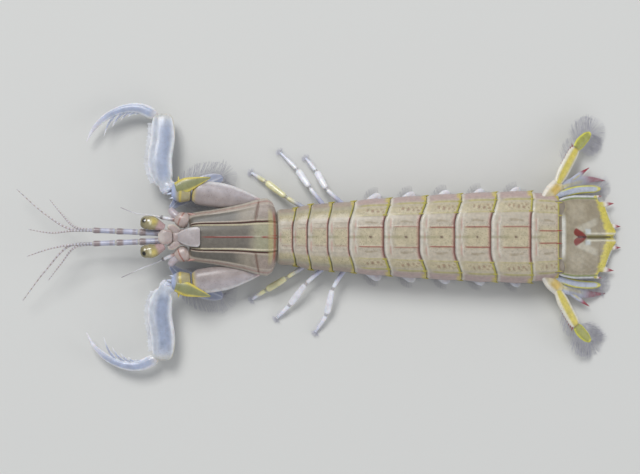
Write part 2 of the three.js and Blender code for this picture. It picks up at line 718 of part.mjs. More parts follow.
// Swimming legs: a stalk and two rounded leaves, laid back on the floor
function pleopod(somite, side, index) {
  const y = lerp(somite.front, somite.rear, 0.3);
  const reach = 6.6 + 0.5 * index;
  const stalk = limb(mirrored([[5.2, y, 6.2], [6.0, y + 0.8, 3.8], [6.6, y + 1.8, 2.2]], side), [
    [0, 1.6, 0.9],
    [1, 1.4, 0.9],
  ], { steps: 2, sides: 6 });
  const leaf = (from, to, width) =>
    limb(mirrored([from, to.map((v, i) => (v + from[i]) / 2), to], side), [
      [0, width * 0.5, 0.5],
      [0.5, width, 0.5],
      [0.85, width * 0.75, 0.4],
      [1, width * 0.3, 0.3],
    ], { steps: 3, sides: 6 });
  const outer = leaf([7.0, y + 1.2, 2.2], [reach + 6.0, y + 6.4, 0.9], 2.0);
  const inner = leaf([5.8, y + 1.4, 2.2], [4.6, y + 7.6, 0.8], 1.7);
  const below = boxAt([-40, y - 5, -3], [40, y + 15, 0.35]);
  const trunkNear = somiteShell(somite, THORAX_COUNT + index, TRIM).translate([0, 0, 0.35]);
  return fuse([stalk, outer, inner], [below, trunkNear]).translate([0, 0, -0.35]);
}

function build() {
  trunk();
  const hull = carapaceBody(GAP);
  const shield = rostralPlate(GAP);
  const corners = SIDES.map(([, side]) =>
    spine(...mirrored([[6.5, -30.0, 9.2], [7.0, -32.4, 9.3]], side), 0.6),
  );
  const firstCollar = [collar(SOMITES[0], GAP), somiteShell(SOMITES[0], 0, GAP)];
  show("carapace", fuse([carapaceBody(), ...corners], [shield, ...firstCollar]), FINISH.shell);
  show("rostral_plate", rostralPlate(), FINISH.shell);
  const ring = antennularSomite(GAP);
  const brow = ophthalmicSomite(GAP);
  show("antennular_somite", fuse([antennularSomite()], [hull, shield]), FINISH.shell);
  show("ophthalmic_somite", fuse([ophthalmicSomite()], [ring]), FINISH.shell);
  const under = undersideBlock(GAP);
  show("mouth_underside", fuse([undersideBlock()], [hull, ring]), FINISH.underside);
  for (const [name, side] of SIDES) {
    const ball = eye(side, GAP);
    show(`eye_${name}`, fuse([eye(side)], [ring, brow]), FINISH.eye);
    show(`antennule_${name}`, fuse([antennule(name, side)], [ring, brow, ball]), FINISH.feeler);
    const thigh = merus(side, GAP);
    const cup = carpus(side, GAP);
    show(`antenna_${name}`, fuse([antenna(name, side)], [ring, hull, shield, under]), FINISH.feeler);
    show(`antennal_scale_${name}`, antennalScale(side), FINISH.feeler);
    show(`claw_merus_${name}`, fuse([merus(side)], [hull]), FINISH.shell);
    show(`claw_carpus_${name}`, fuse([carpus(side)], [thigh]), FINISH.carpus);
    show(`claw_propodus_${name}`, fuse([propodus(side)], [cup]), FINISH.claw);
    const hand = limb(mirrored(PROPODUS_PATH, side), PROPODUS_STATIONS, {
      steps: 12,
      sides: 10,
      boxy: 0.85,
      grow: GAP,
    });
    show(`claw_dactylus_${name}`, dactylus(side, hand), FINISH.claw);
    for (let i = 0; i < 3; i++) {
      show(`maxilliped_${5 - i}_${name}`, fuse([maxilliped(i, side)], [under]), FINISH.underside);
      const trunkNear = [i, i + 1, i + 2].map((k) => somiteShell(SOMITES[k], k, TRIM));
      show(`walking_leg_${i + 1}_${name}`, fuse([walkingLeg(name, side, i)], trunkNear), FINISH.leg);
    }
  }
  HINGE.y = SOMITES[LAST].rear + GAP;
  HINGE.z = TELSON_HINGE_Z;
  const tailWall = somiteShell(SOMITES[LAST], LAST, GAP);
  const tailTrim = somiteShell(SOMITES[LAST], LAST, TRIM + 0.2);
  const floor = boxAt([-60, 0, -20], [60, 120, 0]);
  show("telson", fuse([telson()], [tailWall]), FINISH.fan);
  for (const [name, side] of SIDES) {
    const base = [uropodBlock(side, GAP), ...uropodProngs(side, GAP)];
    show(`uropod_base_${name}`, fuse([uropodBase(side)], [tailTrim, floor]), FINISH.fan);
    show(`uropod_exopod_${name}`, fuse([uropodExopod(side)], [tailTrim, ...base]), FINISH.fan);
    show(`uropod_endopod_${name}`, fuse([uropodEndopod(side)], [tailTrim, ...base]), FINISH.fan);
    for (let i = 0; i < 5; i++) {
      show(`pleopod_${i + 1}_${name}`, pleopod(SOMITES[THORAX_COUNT + i], side, i), FINISH.underside);
    }
  }
}

build();

export default root;
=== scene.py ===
"""A spearing mantis shrimp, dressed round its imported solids.

Sizes are millimetres in the animal's own drawing frame: head towards -Y, the animal's left at +X,
+Z up and the floor at z = 0. Every piece is laid into its mesh in metres, so that it sits in the
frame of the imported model.
"""
import logging
import math
from dataclasses import dataclass, field
from enum import Enum
from typing import Callable, Sequence

import bpy
import numpy as np
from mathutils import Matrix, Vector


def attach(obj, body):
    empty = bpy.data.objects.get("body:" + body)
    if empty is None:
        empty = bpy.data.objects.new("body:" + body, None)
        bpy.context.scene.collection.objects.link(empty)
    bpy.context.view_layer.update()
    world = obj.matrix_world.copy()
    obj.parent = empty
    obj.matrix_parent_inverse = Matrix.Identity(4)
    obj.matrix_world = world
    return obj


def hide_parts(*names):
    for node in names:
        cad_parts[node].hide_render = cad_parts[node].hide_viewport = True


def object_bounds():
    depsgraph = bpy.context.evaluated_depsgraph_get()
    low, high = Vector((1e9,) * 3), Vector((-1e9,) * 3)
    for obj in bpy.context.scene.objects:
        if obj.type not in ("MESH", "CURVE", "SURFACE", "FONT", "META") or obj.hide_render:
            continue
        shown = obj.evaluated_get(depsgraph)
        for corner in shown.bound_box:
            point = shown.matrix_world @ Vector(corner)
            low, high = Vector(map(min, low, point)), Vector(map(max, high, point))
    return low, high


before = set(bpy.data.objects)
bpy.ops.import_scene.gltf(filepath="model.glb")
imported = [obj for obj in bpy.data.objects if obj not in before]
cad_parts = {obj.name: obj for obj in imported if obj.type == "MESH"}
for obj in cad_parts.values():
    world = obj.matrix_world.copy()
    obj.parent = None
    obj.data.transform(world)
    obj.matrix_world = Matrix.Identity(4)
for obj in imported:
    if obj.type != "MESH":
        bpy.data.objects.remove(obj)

LOG = logging.getLogger("mantis_shrimp")
CAD_BOUNDS = [[float(v) for v in corner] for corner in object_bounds()]

Array = np.ndarray
Point = Sequence[float]

MM = 0.001
PLAN_SHIFT = -6.0  # the middle of the plan outline lies on the origin
CARAPACE_FRONT = -30.9
CARAPACE_REAR = -5.9
GAP = 0.3  # between neighbouring shell rings
BELLY_Z = 5.4  # height at which the backs end and the side flaps begin
BACK_POWER = 2.8  # roundness of the trunk's section, 2 is an ellipse
TELSON_LENGTH = 19.0  # to the roots of the two middle teeth
TELSON_HALF_WIDTH = 12.1
TELSON_TILT = math.radians(24)
TELSON_HINGE_Z = 9.5
FLOOR_CLEARANCE = 0.25  # height at which a bristle that aims below the floor ends
LOWEST = 0.02  # nothing reaches below this height


# Sides, colours and curves


class Side(Enum):
    """The animal's two sides, with the sign of x."""

    LEFT = 1
    RIGHT = -1

    @property
    def word(self) -> str:
        """The word that ends a node's name."""
        return self.name.lower()


def linear(code: str | Array) -> Array:
    """A colour in linear light.

    Args:
        code: six hex digits, or linear values, which stay as they are.

    Returns:
        Red, green and blue.
    """
    if isinstance(code, np.ndarray):
        return code
    channels = np.array([int(code[i : i + 2], 16) / 255 for i in (0, 2, 4)])
    return np.where(channels <= 0.04045, channels / 12.92, ((channels + 0.055) / 1.055) ** 2.4)


def smooth(low: float, high: float, x: Array) -> Array:
    """Eased step from 0 at low to 1 at high; low may be above high."""
    t = np.clip((x - low) / (high - low), 0, 1)
    return t * t * (3 - 2 * t)


def bell(value: Array, centre: Array | float, width: float) -> Array:
    """A hill of height 1 that falls off smoothly about the centre."""
    return np.exp(-(((value - centre) / width) ** 2))


def band(x: Array, centre: float, half: float, soft: float) -> Array:
    """1 within half of the centre, easing to 0 over soft."""
    return 1 - smooth(half, half + soft, np.abs(x - centre))


def blend(under: Array, over: Array, share: Array) -> Array:
    """Lays one colour over another by a share for each point."""
    return under + (over - under) * np.asarray(share)[..., None]


def coats(skin: "Skin", base: str | Array, *layers: tuple[str | Array, Array]) -> Array:
    """Paints a skin with one colour over another.

    Args:
        skin: what is painted.
        base: the lowest colour, as six hex digits or linear values.
        layers: each a colour and the share of it that each point takes.

    Returns:
        One colour for each point.
    """
    made = np.broadcast_to(linear(base), skin.points.shape)
    for colour, share in layers:
        made = blend(made, linear(colour), share)
    return made


def track(stations: Sequence[Point], t: Array, column: int = 1) -> Array:
    """Monotone cubic through stations of (t, value, ...).

    Args:
        stations: rows whose first value is the place and the rest are sizes there.
        t: places to read.
        column: which size to read.

    Returns:
        The size at each place.
    """
    x = np.array([row[0] for row in stations], float)
    y = np.array([row[column] for row in stations], float)
    if len(x) < 3:
        return np.interp(t, x, y)
    step = np.diff(x)
    slope = np.diff(y) / step
    m = np.zeros_like(y)
    same = slope[:-1] * slope[1:] > 0
    w1, w2 = 2 * step[1:] + step[:-1], step[1:] + 2 * step[:-1]
    safe = np.where(same, slope[:-1] * slope[1:], 1.0)
    m[1:-1] = np.where(same, (w1 + w2) * safe / (w1 * slope[1:] + w2 * slope[:-1] + 1e-12 * ~same), 0)
    m[0], m[-1] = slope[0], slope[-1]
    t = np.clip(t, x[0], x[-1])
    i = np.clip(np.searchsorted(x, t) - 1, 0, len(step) - 1)
    h = step[i]
    s = (t - x[i]) / h
    return (
        (2 * s**3 - 3 * s**2 + 1) * y[i]
        + (s**3 - 2 * s**2 + s) * h * m[i]
        + (3 * s**2 - 2 * s**3) * y[i + 1]
        + (s**3 - s**2) * h * m[i + 1]
    )


class Path:
    """A centripetal spline through a few points."""

    def __init__(self, points: Sequence[Point]) -> None:
        """Keeps the points, with one more at each end.

        Args:
            points: what the spline goes through.
        """
        p = np.array(points, float)
        self.knots = np.vstack([2 * p[0] - p[1], p, 2 * p[-1] - p[-2]])
        self.spans = len(p) - 1

    def at(self, t: Array) -> Array:
        """The points at shares t of the way, each span taking an equal share.

        Args:
            t: shares of the way.

        Returns:
            One point for each share.
        """
        place = np.clip(np.atleast_1d(t), 0, 1) * self.spans
        i = np.minimum(place.astype(int), self.spans - 1)
        w = (place - i)[:, None]
        p0, p1, p2, p3 = (self.knots[i + k] for k in range(4))

        def gap(a: Array, b: Array) -> Array:
            """The centripetal knot distance."""
            return np.maximum(np.linalg.norm(b - a, axis=1) ** 0.5, 1e-4)[:, None]

        d0, d1, d2 = gap(p0, p1), gap(p1, p2), gap(p2, p3)
        m1 = ((p1 - p0) / d0 - (p2 - p0) / (d0 + d1) + (p2 - p1) / d1) * d1
        m2 = ((p2 - p1) / d1 - (p3 - p1) / (d1 + d2) + (p3 - p2) / d2) * d1
        a = 2 * p1 - 2 * p2 + m1 + m2
        b = -3 * p1 + 3 * p2 - 2 * m1 - m2
        return ((a * w + b) * w + m1) * w + p1

    def way(self, t: Array) -> Array:
        """Unit tangents at shares t.

        Args:
            t: shares of the way.

        Returns:
            One unit tangent for each share.
        """
        t = np.atleast_1d(t)
        step = 1e-3
        d = self.at(np.minimum(t + step, 1)) - self.at(np.maximum(t - step, 0))
        return d / np.linalg.norm(d, axis=1)[:, None]


@dataclass
class Skin:
    """One closed surface of rings, and where each of its points lies on its part.

    Attributes:
        points: rings of points, as (rings, sides, 3), in millimetres.
        t: place along the part, 0 to 1.
        across: -1 to 1 over the part's width.
        over: -1 to 1 from its underside to its top.
    """

    points: Array
    t: Array
    across: Array
    over: Array

    @property
    def edge(self) -> Array:
        """0 on the middle line, 1 at both edges."""
        return np.abs(self.across)

    def mapped(self, move: Callable[[Array], Array]) -> "Skin":
        """The same skin with its points moved."""
        return Skin(move(self.points), self.t, self.across, self.over)


Paint = Callable[[Skin], Array]


def limb(
    path: Path,
    stations: Sequence[Point],
    sides: int = 28,
    steps: int = 40,
    boxy: float = 1.0,
    up: Point = (0, 0, 1),
    round_ends: bool = True,
    swell: Callable[[Array, Array, Array], Array] | None = None,
) -> Skin:
    """A tapered limb round a path.

    Args:
        path: the middle line.
        stations: rows of (t, half width, half thickness).
        sides: points in each ring.
        steps: rings between the ends.
        boxy: 1 is an ellipse, less is squarer.
        up: which way the thickness faces.
        round_ends: whether each end closes in a dome.
        swell: thickness to add at (t, across, over).

    Returns:
        The limb's skin.
    """
    t = np.linspace(0, 1, steps + 1)
    shrink = np.ones_like(t)
    if round_ends:
        dome = np.sin(np.radians([18, 40, 65]))
        near = np.array([0.0, 0.003, 0.009])
        t = np.concatenate([near, t[1:-1], 1 - near[::-1]])
        shrink = np.concatenate([dome, np.ones(steps - 1), dome[::-1]])
    centre, way = path.at(t), path.way(t)
    across = np.cross(way, np.array(up, float))
    across /= np.linalg.norm(across, axis=1)[:, None]
    over = np.cross(across, way)
    turn = 2 * np.pi * (np.arange(sides) + 0.5) / sides
    c = np.sign(np.cos(turn)) * np.abs(np.cos(turn)) ** boxy
    s = np.sign(np.sin(turn)) * np.abs(np.sin(turn)) ** boxy
    grid_t = np.repeat(t[:, None], sides, axis=1)
    grid_c = np.repeat(c[None], len(t), axis=0)
    grid_s = np.repeat(s[None], len(t), axis=0)
    more = swell(grid_t, grid_c, grid_s) if swell else np.zeros_like(grid_t)
    wide = (track(stations, t, 1) * shrink)[:, None] + more
    thick = (track(stations, t, 2) * shrink)[:, None] + more
    points = (
        centre[:, None]
        + across[:, None] * (wide * grid_c)[..., None]
        + over[:, None] * (thick * grid_s)[..., None]
    )
    return Skin(points, grid_t, grid_c, grid_s)


def mirrored(half: Array, along: Array, across: Array, over: Array) -> Skin:
    """Completes rings that are drawn for one side of the body.

    Args:
        half: the half rings, from the midline above round to the midline below.
        along: each point's share of the length.
        across: its place over the width, which changes sign on the other side.
        over: its place from underside to top.

    Returns:
        The closed surface.
    """

    def both(values: Array, turn: Array | float = 1.0) -> Array:
        """Adds the other side, without the points on the midline."""
        return np.concatenate([values, values[:, -2:0:-1] * turn], 1)

    return Skin(both(half, np.array([-1, 1, 1])), both(along), both(across, -1.0), both(over))


def thorn(root: Point, tip: Point, radius: float, bend: Point = (0, 0, 0), sides: int = 8) -> Skin:
    """A spine from a sunk root to a fine tip, bowed by bend at its middle.

    Args:
        root: the sunk root.
        tip: the fine tip.
        radius: half width at the root.
        bend: shift of the middle.
        sides: points in each ring.

    Returns:
        The spine's skin.
    """
    a, b = np.array(root, float), np.array(tip, float)
    path = Path([a, (a + b) / 2 + np.array(bend, float), b])
    stations = [(0, radius, radius), (0.45, radius * 0.72, radius * 0.72), (1, radius * 0.07, radius * 0.07)]
    return limb(path, stations, sides=sides, steps=8, up=(0.21, 0.13, 1), round_ends=False)


def flipped(points: Sequence[Point], side: Side) -> list[tuple[float, float, float]]:
    """Points of the left side, laid on either side."""
    return [(x * side.value, y, z) for x, y, z in points]


# Node trees


def node(
    tree: bpy.types.NodeTree, kind: str, inputs: dict[str | int, object] | None = None, **settings: object
) -> bpy.types.Node:
    """Adds a node to a tree.

    Args:
        tree: the node tree.
        kind: Blender's type name of the node.
        inputs: values of its inputs, by name or by place.
        settings: values of its own properties.

    Returns:
        The node.
    """
    made = tree.nodes.new(kind)
    for name, value in settings.items():
        setattr(made, name, value)
    for name, value in (inputs or {}).items():
        made.inputs[name].default_value = value
    return made


Row = tuple[bpy.types.Node, str | int, bpy.types.Node, str | int]


def join(tree: bpy.types.NodeTree, rows: Sequence[Row]) -> None:
    """Links nodes, each row an output's node and name and an input's node and name."""
    for source, output, target, entry in rows:
        tree.links.new(source.outputs[output], target.inputs[entry])


# Finishes


@dataclass(frozen=True)
class Chitin:
    """A finish of the shell: painted colour, dark specks, satin gloss and fine relief.

    Attributes:
        name: the material's name.
        roughness: middle roughness.
        speck: colour of the specks.
        speck_size: millimetres between specks.
        relief: depth of the fine relief, in millimetres.
        relief_size: millimetres between its bumps.
        glow: weight of light scattered inside.
        coat: weight of the wet-looking coat.
    """

    name: str
    roughness: float = 0.42
    speck: str = "3a2a20"
    speck_size: float = 0.55
    relief: float = 0.04
    relief_size: float = 0.5
    glow: float = 0.12
    coat: float = 0.14

    def material(self) -> bpy.types.Material:
        """Builds the node material, once for each name.

        Returns:
            The material.
        """
        made = bpy.data.materials.get(self.name)
        if made:
            return made
        made = bpy.data.materials.new(self.name)
        made.use_nodes = True
        tree = made.node_tree
        shader = tree.nodes["Principled BSDF"]
        values = {
            "Subsurface Weight": self.glow,
            "Subsurface Radius": (1.0, 0.7, 0.5),
            "Subsurface Scale": 1.2 * MM,
            "Coat Weight": self.coat,
            "Coat Roughness": 0.12,
        }
        for name, value in values.items():
            shader.inputs[name].default_value = value
        place = node(tree, "ShaderNodeTexCoord")
        paint = node(tree, "ShaderNodeAttribute", attribute_name="Paint")
        speckle = node(tree, "ShaderNodeAttribute", attribute_name="Speck")
        cells = node(tree, "ShaderNodeTexVoronoi", {"Scale": 1 / (self.speck_size * MM), "Randomness": 1.0})
        dots = node(tree, "ShaderNodeMapRange", {"From Min": 0.26, "From Max": 0.14})
        share = node(tree, "ShaderNodeMath", operation="MULTIPLY")
        cloud = node(tree, "ShaderNodeTexNoise", {"Scale": 0.32 / (self.speck_size * MM), "Detail": 4.0})
        mild = {"From Min": 0.3, "From Max": 0.7, "To Min": 0.86, "To Max": 1.1}
        shade = node(tree, "ShaderNodeMapRange", mild)
        mottle = node(tree, "ShaderNodeVectorMath", operation="SCALE")
        lay = node(tree, "ShaderNodeMix", {"B": (*linear(self.speck), 1)}, data_type="RGBA")
        worn = {"To Min": self.roughness - 0.09, "To Max": self.roughness + 0.12}
        gloss = node(tree, "ShaderNodeMapRange", worn)
        grain = node(tree, "ShaderNodeTexNoise", {"Scale": 1 / (self.relief_size * MM), "Detail": 3.0})
        bump = node(tree, "ShaderNodeBump", {"Strength": 0.5, "Distance": self.relief * MM})
        join(
            tree,
            [(place, "Object", texture, "Vector") for texture in (cells, cloud, grain)]
            + [
                (cells, "Distance", dots, "Value"),
                (dots, "Result", share, 0),
                (speckle, "Fac", share, 1),
                (cloud, "Fac", shade, "Value"),
                (paint, "Color", mottle, "Vector"),
                (shade, "Result", mottle, "Scale"),
                (mottle, "Vector", lay, "A"),
                (share, "Value", lay, "Factor"),
                (lay, "Result", shader, "Base Color"),
                (cloud, "Fac", gloss, "Value"),
                (gloss, "Result", shader, "Roughness"),
                (grain, "Fac", bump, "Height"),
                (bump, "Normal", shader, "Normal"),
            ],
        )
        return made


SHELL = Chitin("tergite_chitin", speck_size=0.34)
SHIELD = Chitin("carapace_chitin", roughness=0.46, speck_size=0.34, coat=0.08)
PINK_SHELL = Chitin("head_chitin", glow=0.2, relief=0.03)
CLAW = Chitin(
    "claw_chitin", roughness=0.3, speck="8a6a6c", speck_size=0.6, glow=0.35, coat=0.25, relief=0.02
)
MERUS = Chitin("merus_chitin", roughness=0.33, speck="6b4a44", speck_size=0.6, glow=0.2)
FAN = Chitin("tail_fan_chitin", roughness=0.34, speck="4a4620", speck_size=0.42, glow=0.15)
LEG = Chitin("leg_chitin", roughness=0.3, glow=0.35, coat=0.4, relief=0.02)
EYE = Chitin(
    "cornea", roughness=0.16, speck="4a3a18", speck_size=0.22, relief=0.02, relief_size=0.16, coat=0.8
)
FEELER = Chitin("feeler_chitin", roughness=0.3, glow=0.3, relief=0.02)
SOFT = Chitin("pale_underside_chitin", roughness=0.42, glow=0.3, coat=0.15)
SETA = Chitin("seta", roughness=0.45, relief=0.0, glow=0.0, coat=0.0)


# Pieces and bristles


class Piece:
    """One body part's joined skins, painted point by point, that takes the place of its solids."""

    def __init__(self, name: str, slot: str, finish: Chitin, nodes: Sequence[str] | None = None) -> None:
        """Starts an empty piece.

        Args:
            name: the piece's name.
            slot: the name of a material slot; not used.
            finish: the material.
            nodes: the solids that it replaces, by default the one of its own name without _skin.
        """
        self.name = name
        self.slot = slot
        self.finish = finish
        self.nodes = [name.removesuffix("_skin")] if nodes is None else list(nodes)
        self.points: list[Array] = []
        self.faces: list[tuple[int, ...]] = []
        self.paint: list[Array] = []
        self.speck: list[Array] = []
        self.count = 0

    def add(self, skin: Skin, paint: Paint | str | Array, speck: Paint | float = 0.0) -> "Piece":
        """Joins a closed skin to the piece.

        Args:
            skin: the surface.
            paint: one colour, as hex digits or values, or a function that gives each point's.
            speck: density of the dark specks, or a function that gives it.

        Returns:
            The piece itself.
        """
        rings, sides = skin.points.shape[:2]
        colour = paint(skin) if callable(paint) else np.broadcast_to(linear(paint), skin.points.shape)
        dots = speck(skin) if callable(speck) else np.full(skin.t.shape, float(speck))
        for values, kept in ((skin.points, self.points), (colour, self.paint)):
            flat = values.reshape(-1, 3)
            kept.append(np.vstack([flat, values[0].mean(0), values[-1].mean(0)]))
        self.speck.append(np.concatenate([dots.ravel(), [dots[0].mean(), dots[-1].mean()]]))
        start = self.count
        i, k = np.meshgrid(np.arange(rings - 1), np.arange(sides), indexing="ij")
        a = start + i * sides + k
        b = start + i * sides + (k + 1) % sides
        quads = np.stack([a, b, b + sides, a + sides], axis=-1).reshape(-1, 4)
        near, far = start + rings * sides, start + rings * sides + 1
        last = start + (rings - 1) * sides
        ring = np.arange(sides)
        caps = [(near, start + (k + 1) % sides, start + k) for k in ring]
        caps += [(far, last + k, last + (k + 1) % sides) for k in ring]
        faces = [tuple(q) for q in quads.tolist()] + [tuple(int(v) for v in cap) for cap in caps]
        if self._inside_out(skin):
            faces = [face[::-1] for face in faces]
        self.faces += faces
        self.count += rings * sides + 2
        return self

    @staticmethod
    def _inside_out(skin: Skin) -> bool:
        """Whether the rings turn so that the faces would point in.

        Args:
            skin: the surface that is asked about.

        Returns:
            True if the faces have to be flipped.
        """
        p = skin.points
        centre = p.reshape(-1, 3).mean(0)
        a, b, c, d = p[:-1], np.roll(p[:-1], -1, 1), np.roll(p[1:], -1, 1), p[1:]
        normal = np.cross(c - a, d - b)
        return float((normal * ((a + c) / 2 - centre)).sum()) < 0

    def make(self) -> bpy.types.Object:
        """Builds the object, dresses it, hangs it on the root empty and hides the solids that it replaces.

        Returns:
            The finished object.
        """
        points = np.vstack(self.points)
        points[:, 1] += PLAN_SHIFT
        mesh = bpy.data.meshes.new(self.name)
        mesh.from_pydata((points * MM).tolist(), [], self.faces)
        mesh.update()
        colour = np.hstack([np.vstack(self.paint), np.ones((len(points), 1))])
        layer = mesh.color_attributes.new("Paint", "FLOAT_COLOR", "POINT")
        layer.data.foreach_set("color", np.clip(colour, 0, 1).ravel())
        dots = mesh.attributes.new("Speck", "FLOAT", "POINT")
        dots.data.foreach_set("value", np.concatenate(self.speck))
        mesh.polygons.foreach_set("use_smooth", np.ones(len(mesh.polygons), bool))
        made = bpy.data.objects.new(self.name, mesh)
        bpy.context.scene.collection.objects.link(made)
        mesh.materials.append(self.finish.material())
        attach(made, "root")
        if self.nodes:
            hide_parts(*self.nodes)
        LOG.info("%s: %d faces", self.name, len(self.faces))
        return made


class Setae:
    """Fringes of fine bristles, grown by Geometry Nodes on points that know their aim and reach."""

    GROUP = "bristle_fringe"

    def __init__(self) -> None:
        """Starts with no bristles."""
        self.roots: list[Array] = []
        self.aims: list[Array] = []
        self.reach: list[Array] = []

    def fringe(self, roots: Array, aims: Array, reach: Array | float) -> "Setae":
        """Adds bristles.

        Args:
            roots: points in millimetres.
            aims: directions.
            reach: lengths in millimetres.

        Returns:
            The fringe itself.
        """
        self.roots.append(np.asarray(roots, float))
        self.aims.append(aims / np.linalg.norm(aims, axis=1)[:, None])
        self.reach.append(np.broadcast_to(np.asarray(reach, float), (len(roots),)).copy())
        return self

    @classmethod
    def tree(cls) -> bpy.types.NodeTree:
        """Builds the node tree, once: a bent, tapered bristle on every point.

        Returns:
            The tree.
        """
        made = bpy.data.node_groups.get(cls.GROUP)
        if made:
            return made
        made = bpy.data.node_groups.new(cls.GROUP, "GeometryNodeTree")
        sockets = (
            ("Geometry", "INPUT", "NodeSocketGeometry", None),
            ("Radius", "INPUT", "NodeSocketFloat", 0.03 * MM),
            ("Bend", "INPUT", "NodeSocketFloat", 0.12),
            ("Seed", "INPUT", "NodeSocketInt", 7),
            ("Finish", "INPUT", "NodeSocketMaterial", None),
            ("Geometry", "OUTPUT", "NodeSocketGeometry", None),
        )
        for name, way, kind, value in sockets:
            socket = made.interface.new_socket(name, in_out=way, socket_type=kind)
            if value is not None:
                socket.default_value = value
        given = node(made, "NodeGroupInput")
        result = node(made, "NodeGroupOutput")
        spine = node(made, "GeometryNodeCurveQuadraticBezier", {"Resolution": 4, "Start": (0, 0, 0)})
        middle = node(made, "ShaderNodeCombineXYZ", {"Z": 0.55})
        tip = node(made, "ShaderNodeCombineXYZ", {"Z": 1.0})
        double = node(made, "ShaderNodeMath", {1: 2.2}, operation="MULTIPLY")
        section = node(made, "GeometryNodeCurvePrimitiveCircle", {"Resolution": 4})
        along = node(made, "GeometryNodeSplineParameter")
        taper = node(made, "ShaderNodeMapRange", {"To Min": 1.0, "To Max": 0.15})
        thin = node(made, "GeometryNodeSetCurveRadius")
        solid = node(made, "GeometryNodeCurveToMesh", {"Fill Caps": True})
        aim = node(made, "GeometryNodeInputNamedAttribute", {"Name": "aim"}, data_type="FLOAT_VECTOR")
        reach = node(made, "GeometryNodeInputNamedAttribute", {"Name": "reach"}, data_type="FLOAT")
        turn = node(made, "FunctionNodeAlignRotationToVector", axis="Z")
        chance = node(made, "FunctionNodeRandomValue", {"Min": -0.7, "Max": 0.7}, data_type="FLOAT")
        roll = node(made, "FunctionNodeAxisAngleToRotation", {"Axis": (0, 0, 1)})
        rolled = node(made, "FunctionNodeRotateRotation", rotation_space="LOCAL")
        size = node(made, "ShaderNodeCombineXYZ")
        grow = node(made, "GeometryNodeInstanceOnPoints")
        real = node(made, "GeometryNodeRealizeInstances")
        dress = node(made, "GeometryNodeSetMaterial")
        join(
            made,
            [(reach, "Attribute", size, axis) for axis in ("X", "Y", "Z")]
            + [
                (given, "Bend", middle, "X"),
                (given, "Bend", double, 0),
                (double, "Value", tip, "X"),
                (middle, "Vector", spine, "Middle"),
                (tip, "Vector", spine, "End"),
                (along, "Factor", taper, "Value"),
                (spine, "Curve", thin, "Curve"),
                (taper, "Result", thin, "Radius"),
                (given, "Radius", section, "Radius"),
                (thin, "Curve", solid, "Curve"),
                (section, "Curve", solid, "Profile Curve"),
                (aim, "Attribute", turn, "Vector"),
                (given, "Seed", chance, "Seed"),
                (chance, 1, roll, "Angle"),
                (turn, "Rotation", rolled, "Rotation"),
                (roll, "Rotation", rolled, "Rotate By"),
                (given, "Geometry", grow, "Points"),
                (solid, "Mesh", grow, "Instance"),
                (rolled, "Rotation", grow, "Rotation"),
                (size, "Vector", grow, "Scale"),
                (grow, "Instances", real, "Geometry"),
                (real, "Geometry", dress, "Geometry"),
                (given, "Finish", dress, "Material"),
                (dress, "Geometry", result, "Geometry"),
            ],
        )
        return made

    def make(
        self, name: str, slot: str, colour: str, radius: float = 0.012, bend: float = 0.1, seed: int = 5
    ) -> bpy.types.Object:
        """Grows the bristles into one plain mesh.

        Args:
            name: the piece's name.
            slot: the name of a material slot; not used.
            colour: six hex digits.
            radius: half thickness for each millimetre of length.
            bend: sideways bow for each millimetre of length.
            seed: fixes the random roll.

        Returns:
            The bristles.
        """
        roots = np.vstack(self.roots)
        roots[:, 1] += PLAN_SHIFT
        reach = np.concatenate(self.reach)
        aims = np.vstack(self.aims)
        aims[:, 2] = np.maximum(aims[:, 2], (FLOOR_CLEARANCE - roots[:, 2]) / reach)
        mesh = bpy.data.meshes.new(name + "_roots")
        mesh.from_pydata((roots * MM).tolist(), [], [])
        mesh.attributes.new("aim", "FLOAT_VECTOR", "POINT").data.foreach_set("vector", aims.ravel())
        mesh.attributes.new("reach", "FLOAT", "POINT").data.foreach_set("value", reach * MM)
        holder = bpy.data.objects.new(name + "_roots", mesh)
        bpy.context.scene.collection.objects.link(holder)
        tree = self.tree()
        growth = holder.modifiers.new("fringe", "NODES")
        growth.node_group = tree
        inputs = {item.name: item.identifier for item in tree.interface.items_tree if item.in_out == "INPUT"}
        growth[inputs["Radius"]] = radius
        growth[inputs["Bend"]] = bend
        growth[inputs["Seed"]] = seed
        growth[inputs["Finish"]] = SETA.material()
        grown = holder.evaluated_get(bpy.context.evaluated_depsgraph_get())
        plain = bpy.data.meshes.new_from_object(grown)
        holder.modifiers.remove(growth)
        bpy.data.objects.remove(holder)
        made = bpy.data.objects.new(name, plain)
        bpy.context.scene.collection.objects.link(made)
        colours = np.tile([*linear(colour), 1.0], len(plain.vertices))
        plain.color_attributes.new("Paint", "FLOAT_COLOR", "POINT").data.foreach_set("color", colours)
        floor_shape(made)
        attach(made, "root")
        LOG.info("%s: %d bristles", name, len(roots))
        return made


# Trunk and carapace


@dataclass(frozen=True)
class Somite:
    """One free segment of the trunk: its length, and at its rear rim the half width, back height and sweep.

    The sweep is how far the rear corners lie behind the middle of the rim.
    """

    name: str
    length: float
    half: float
    top: float
    sweep: float


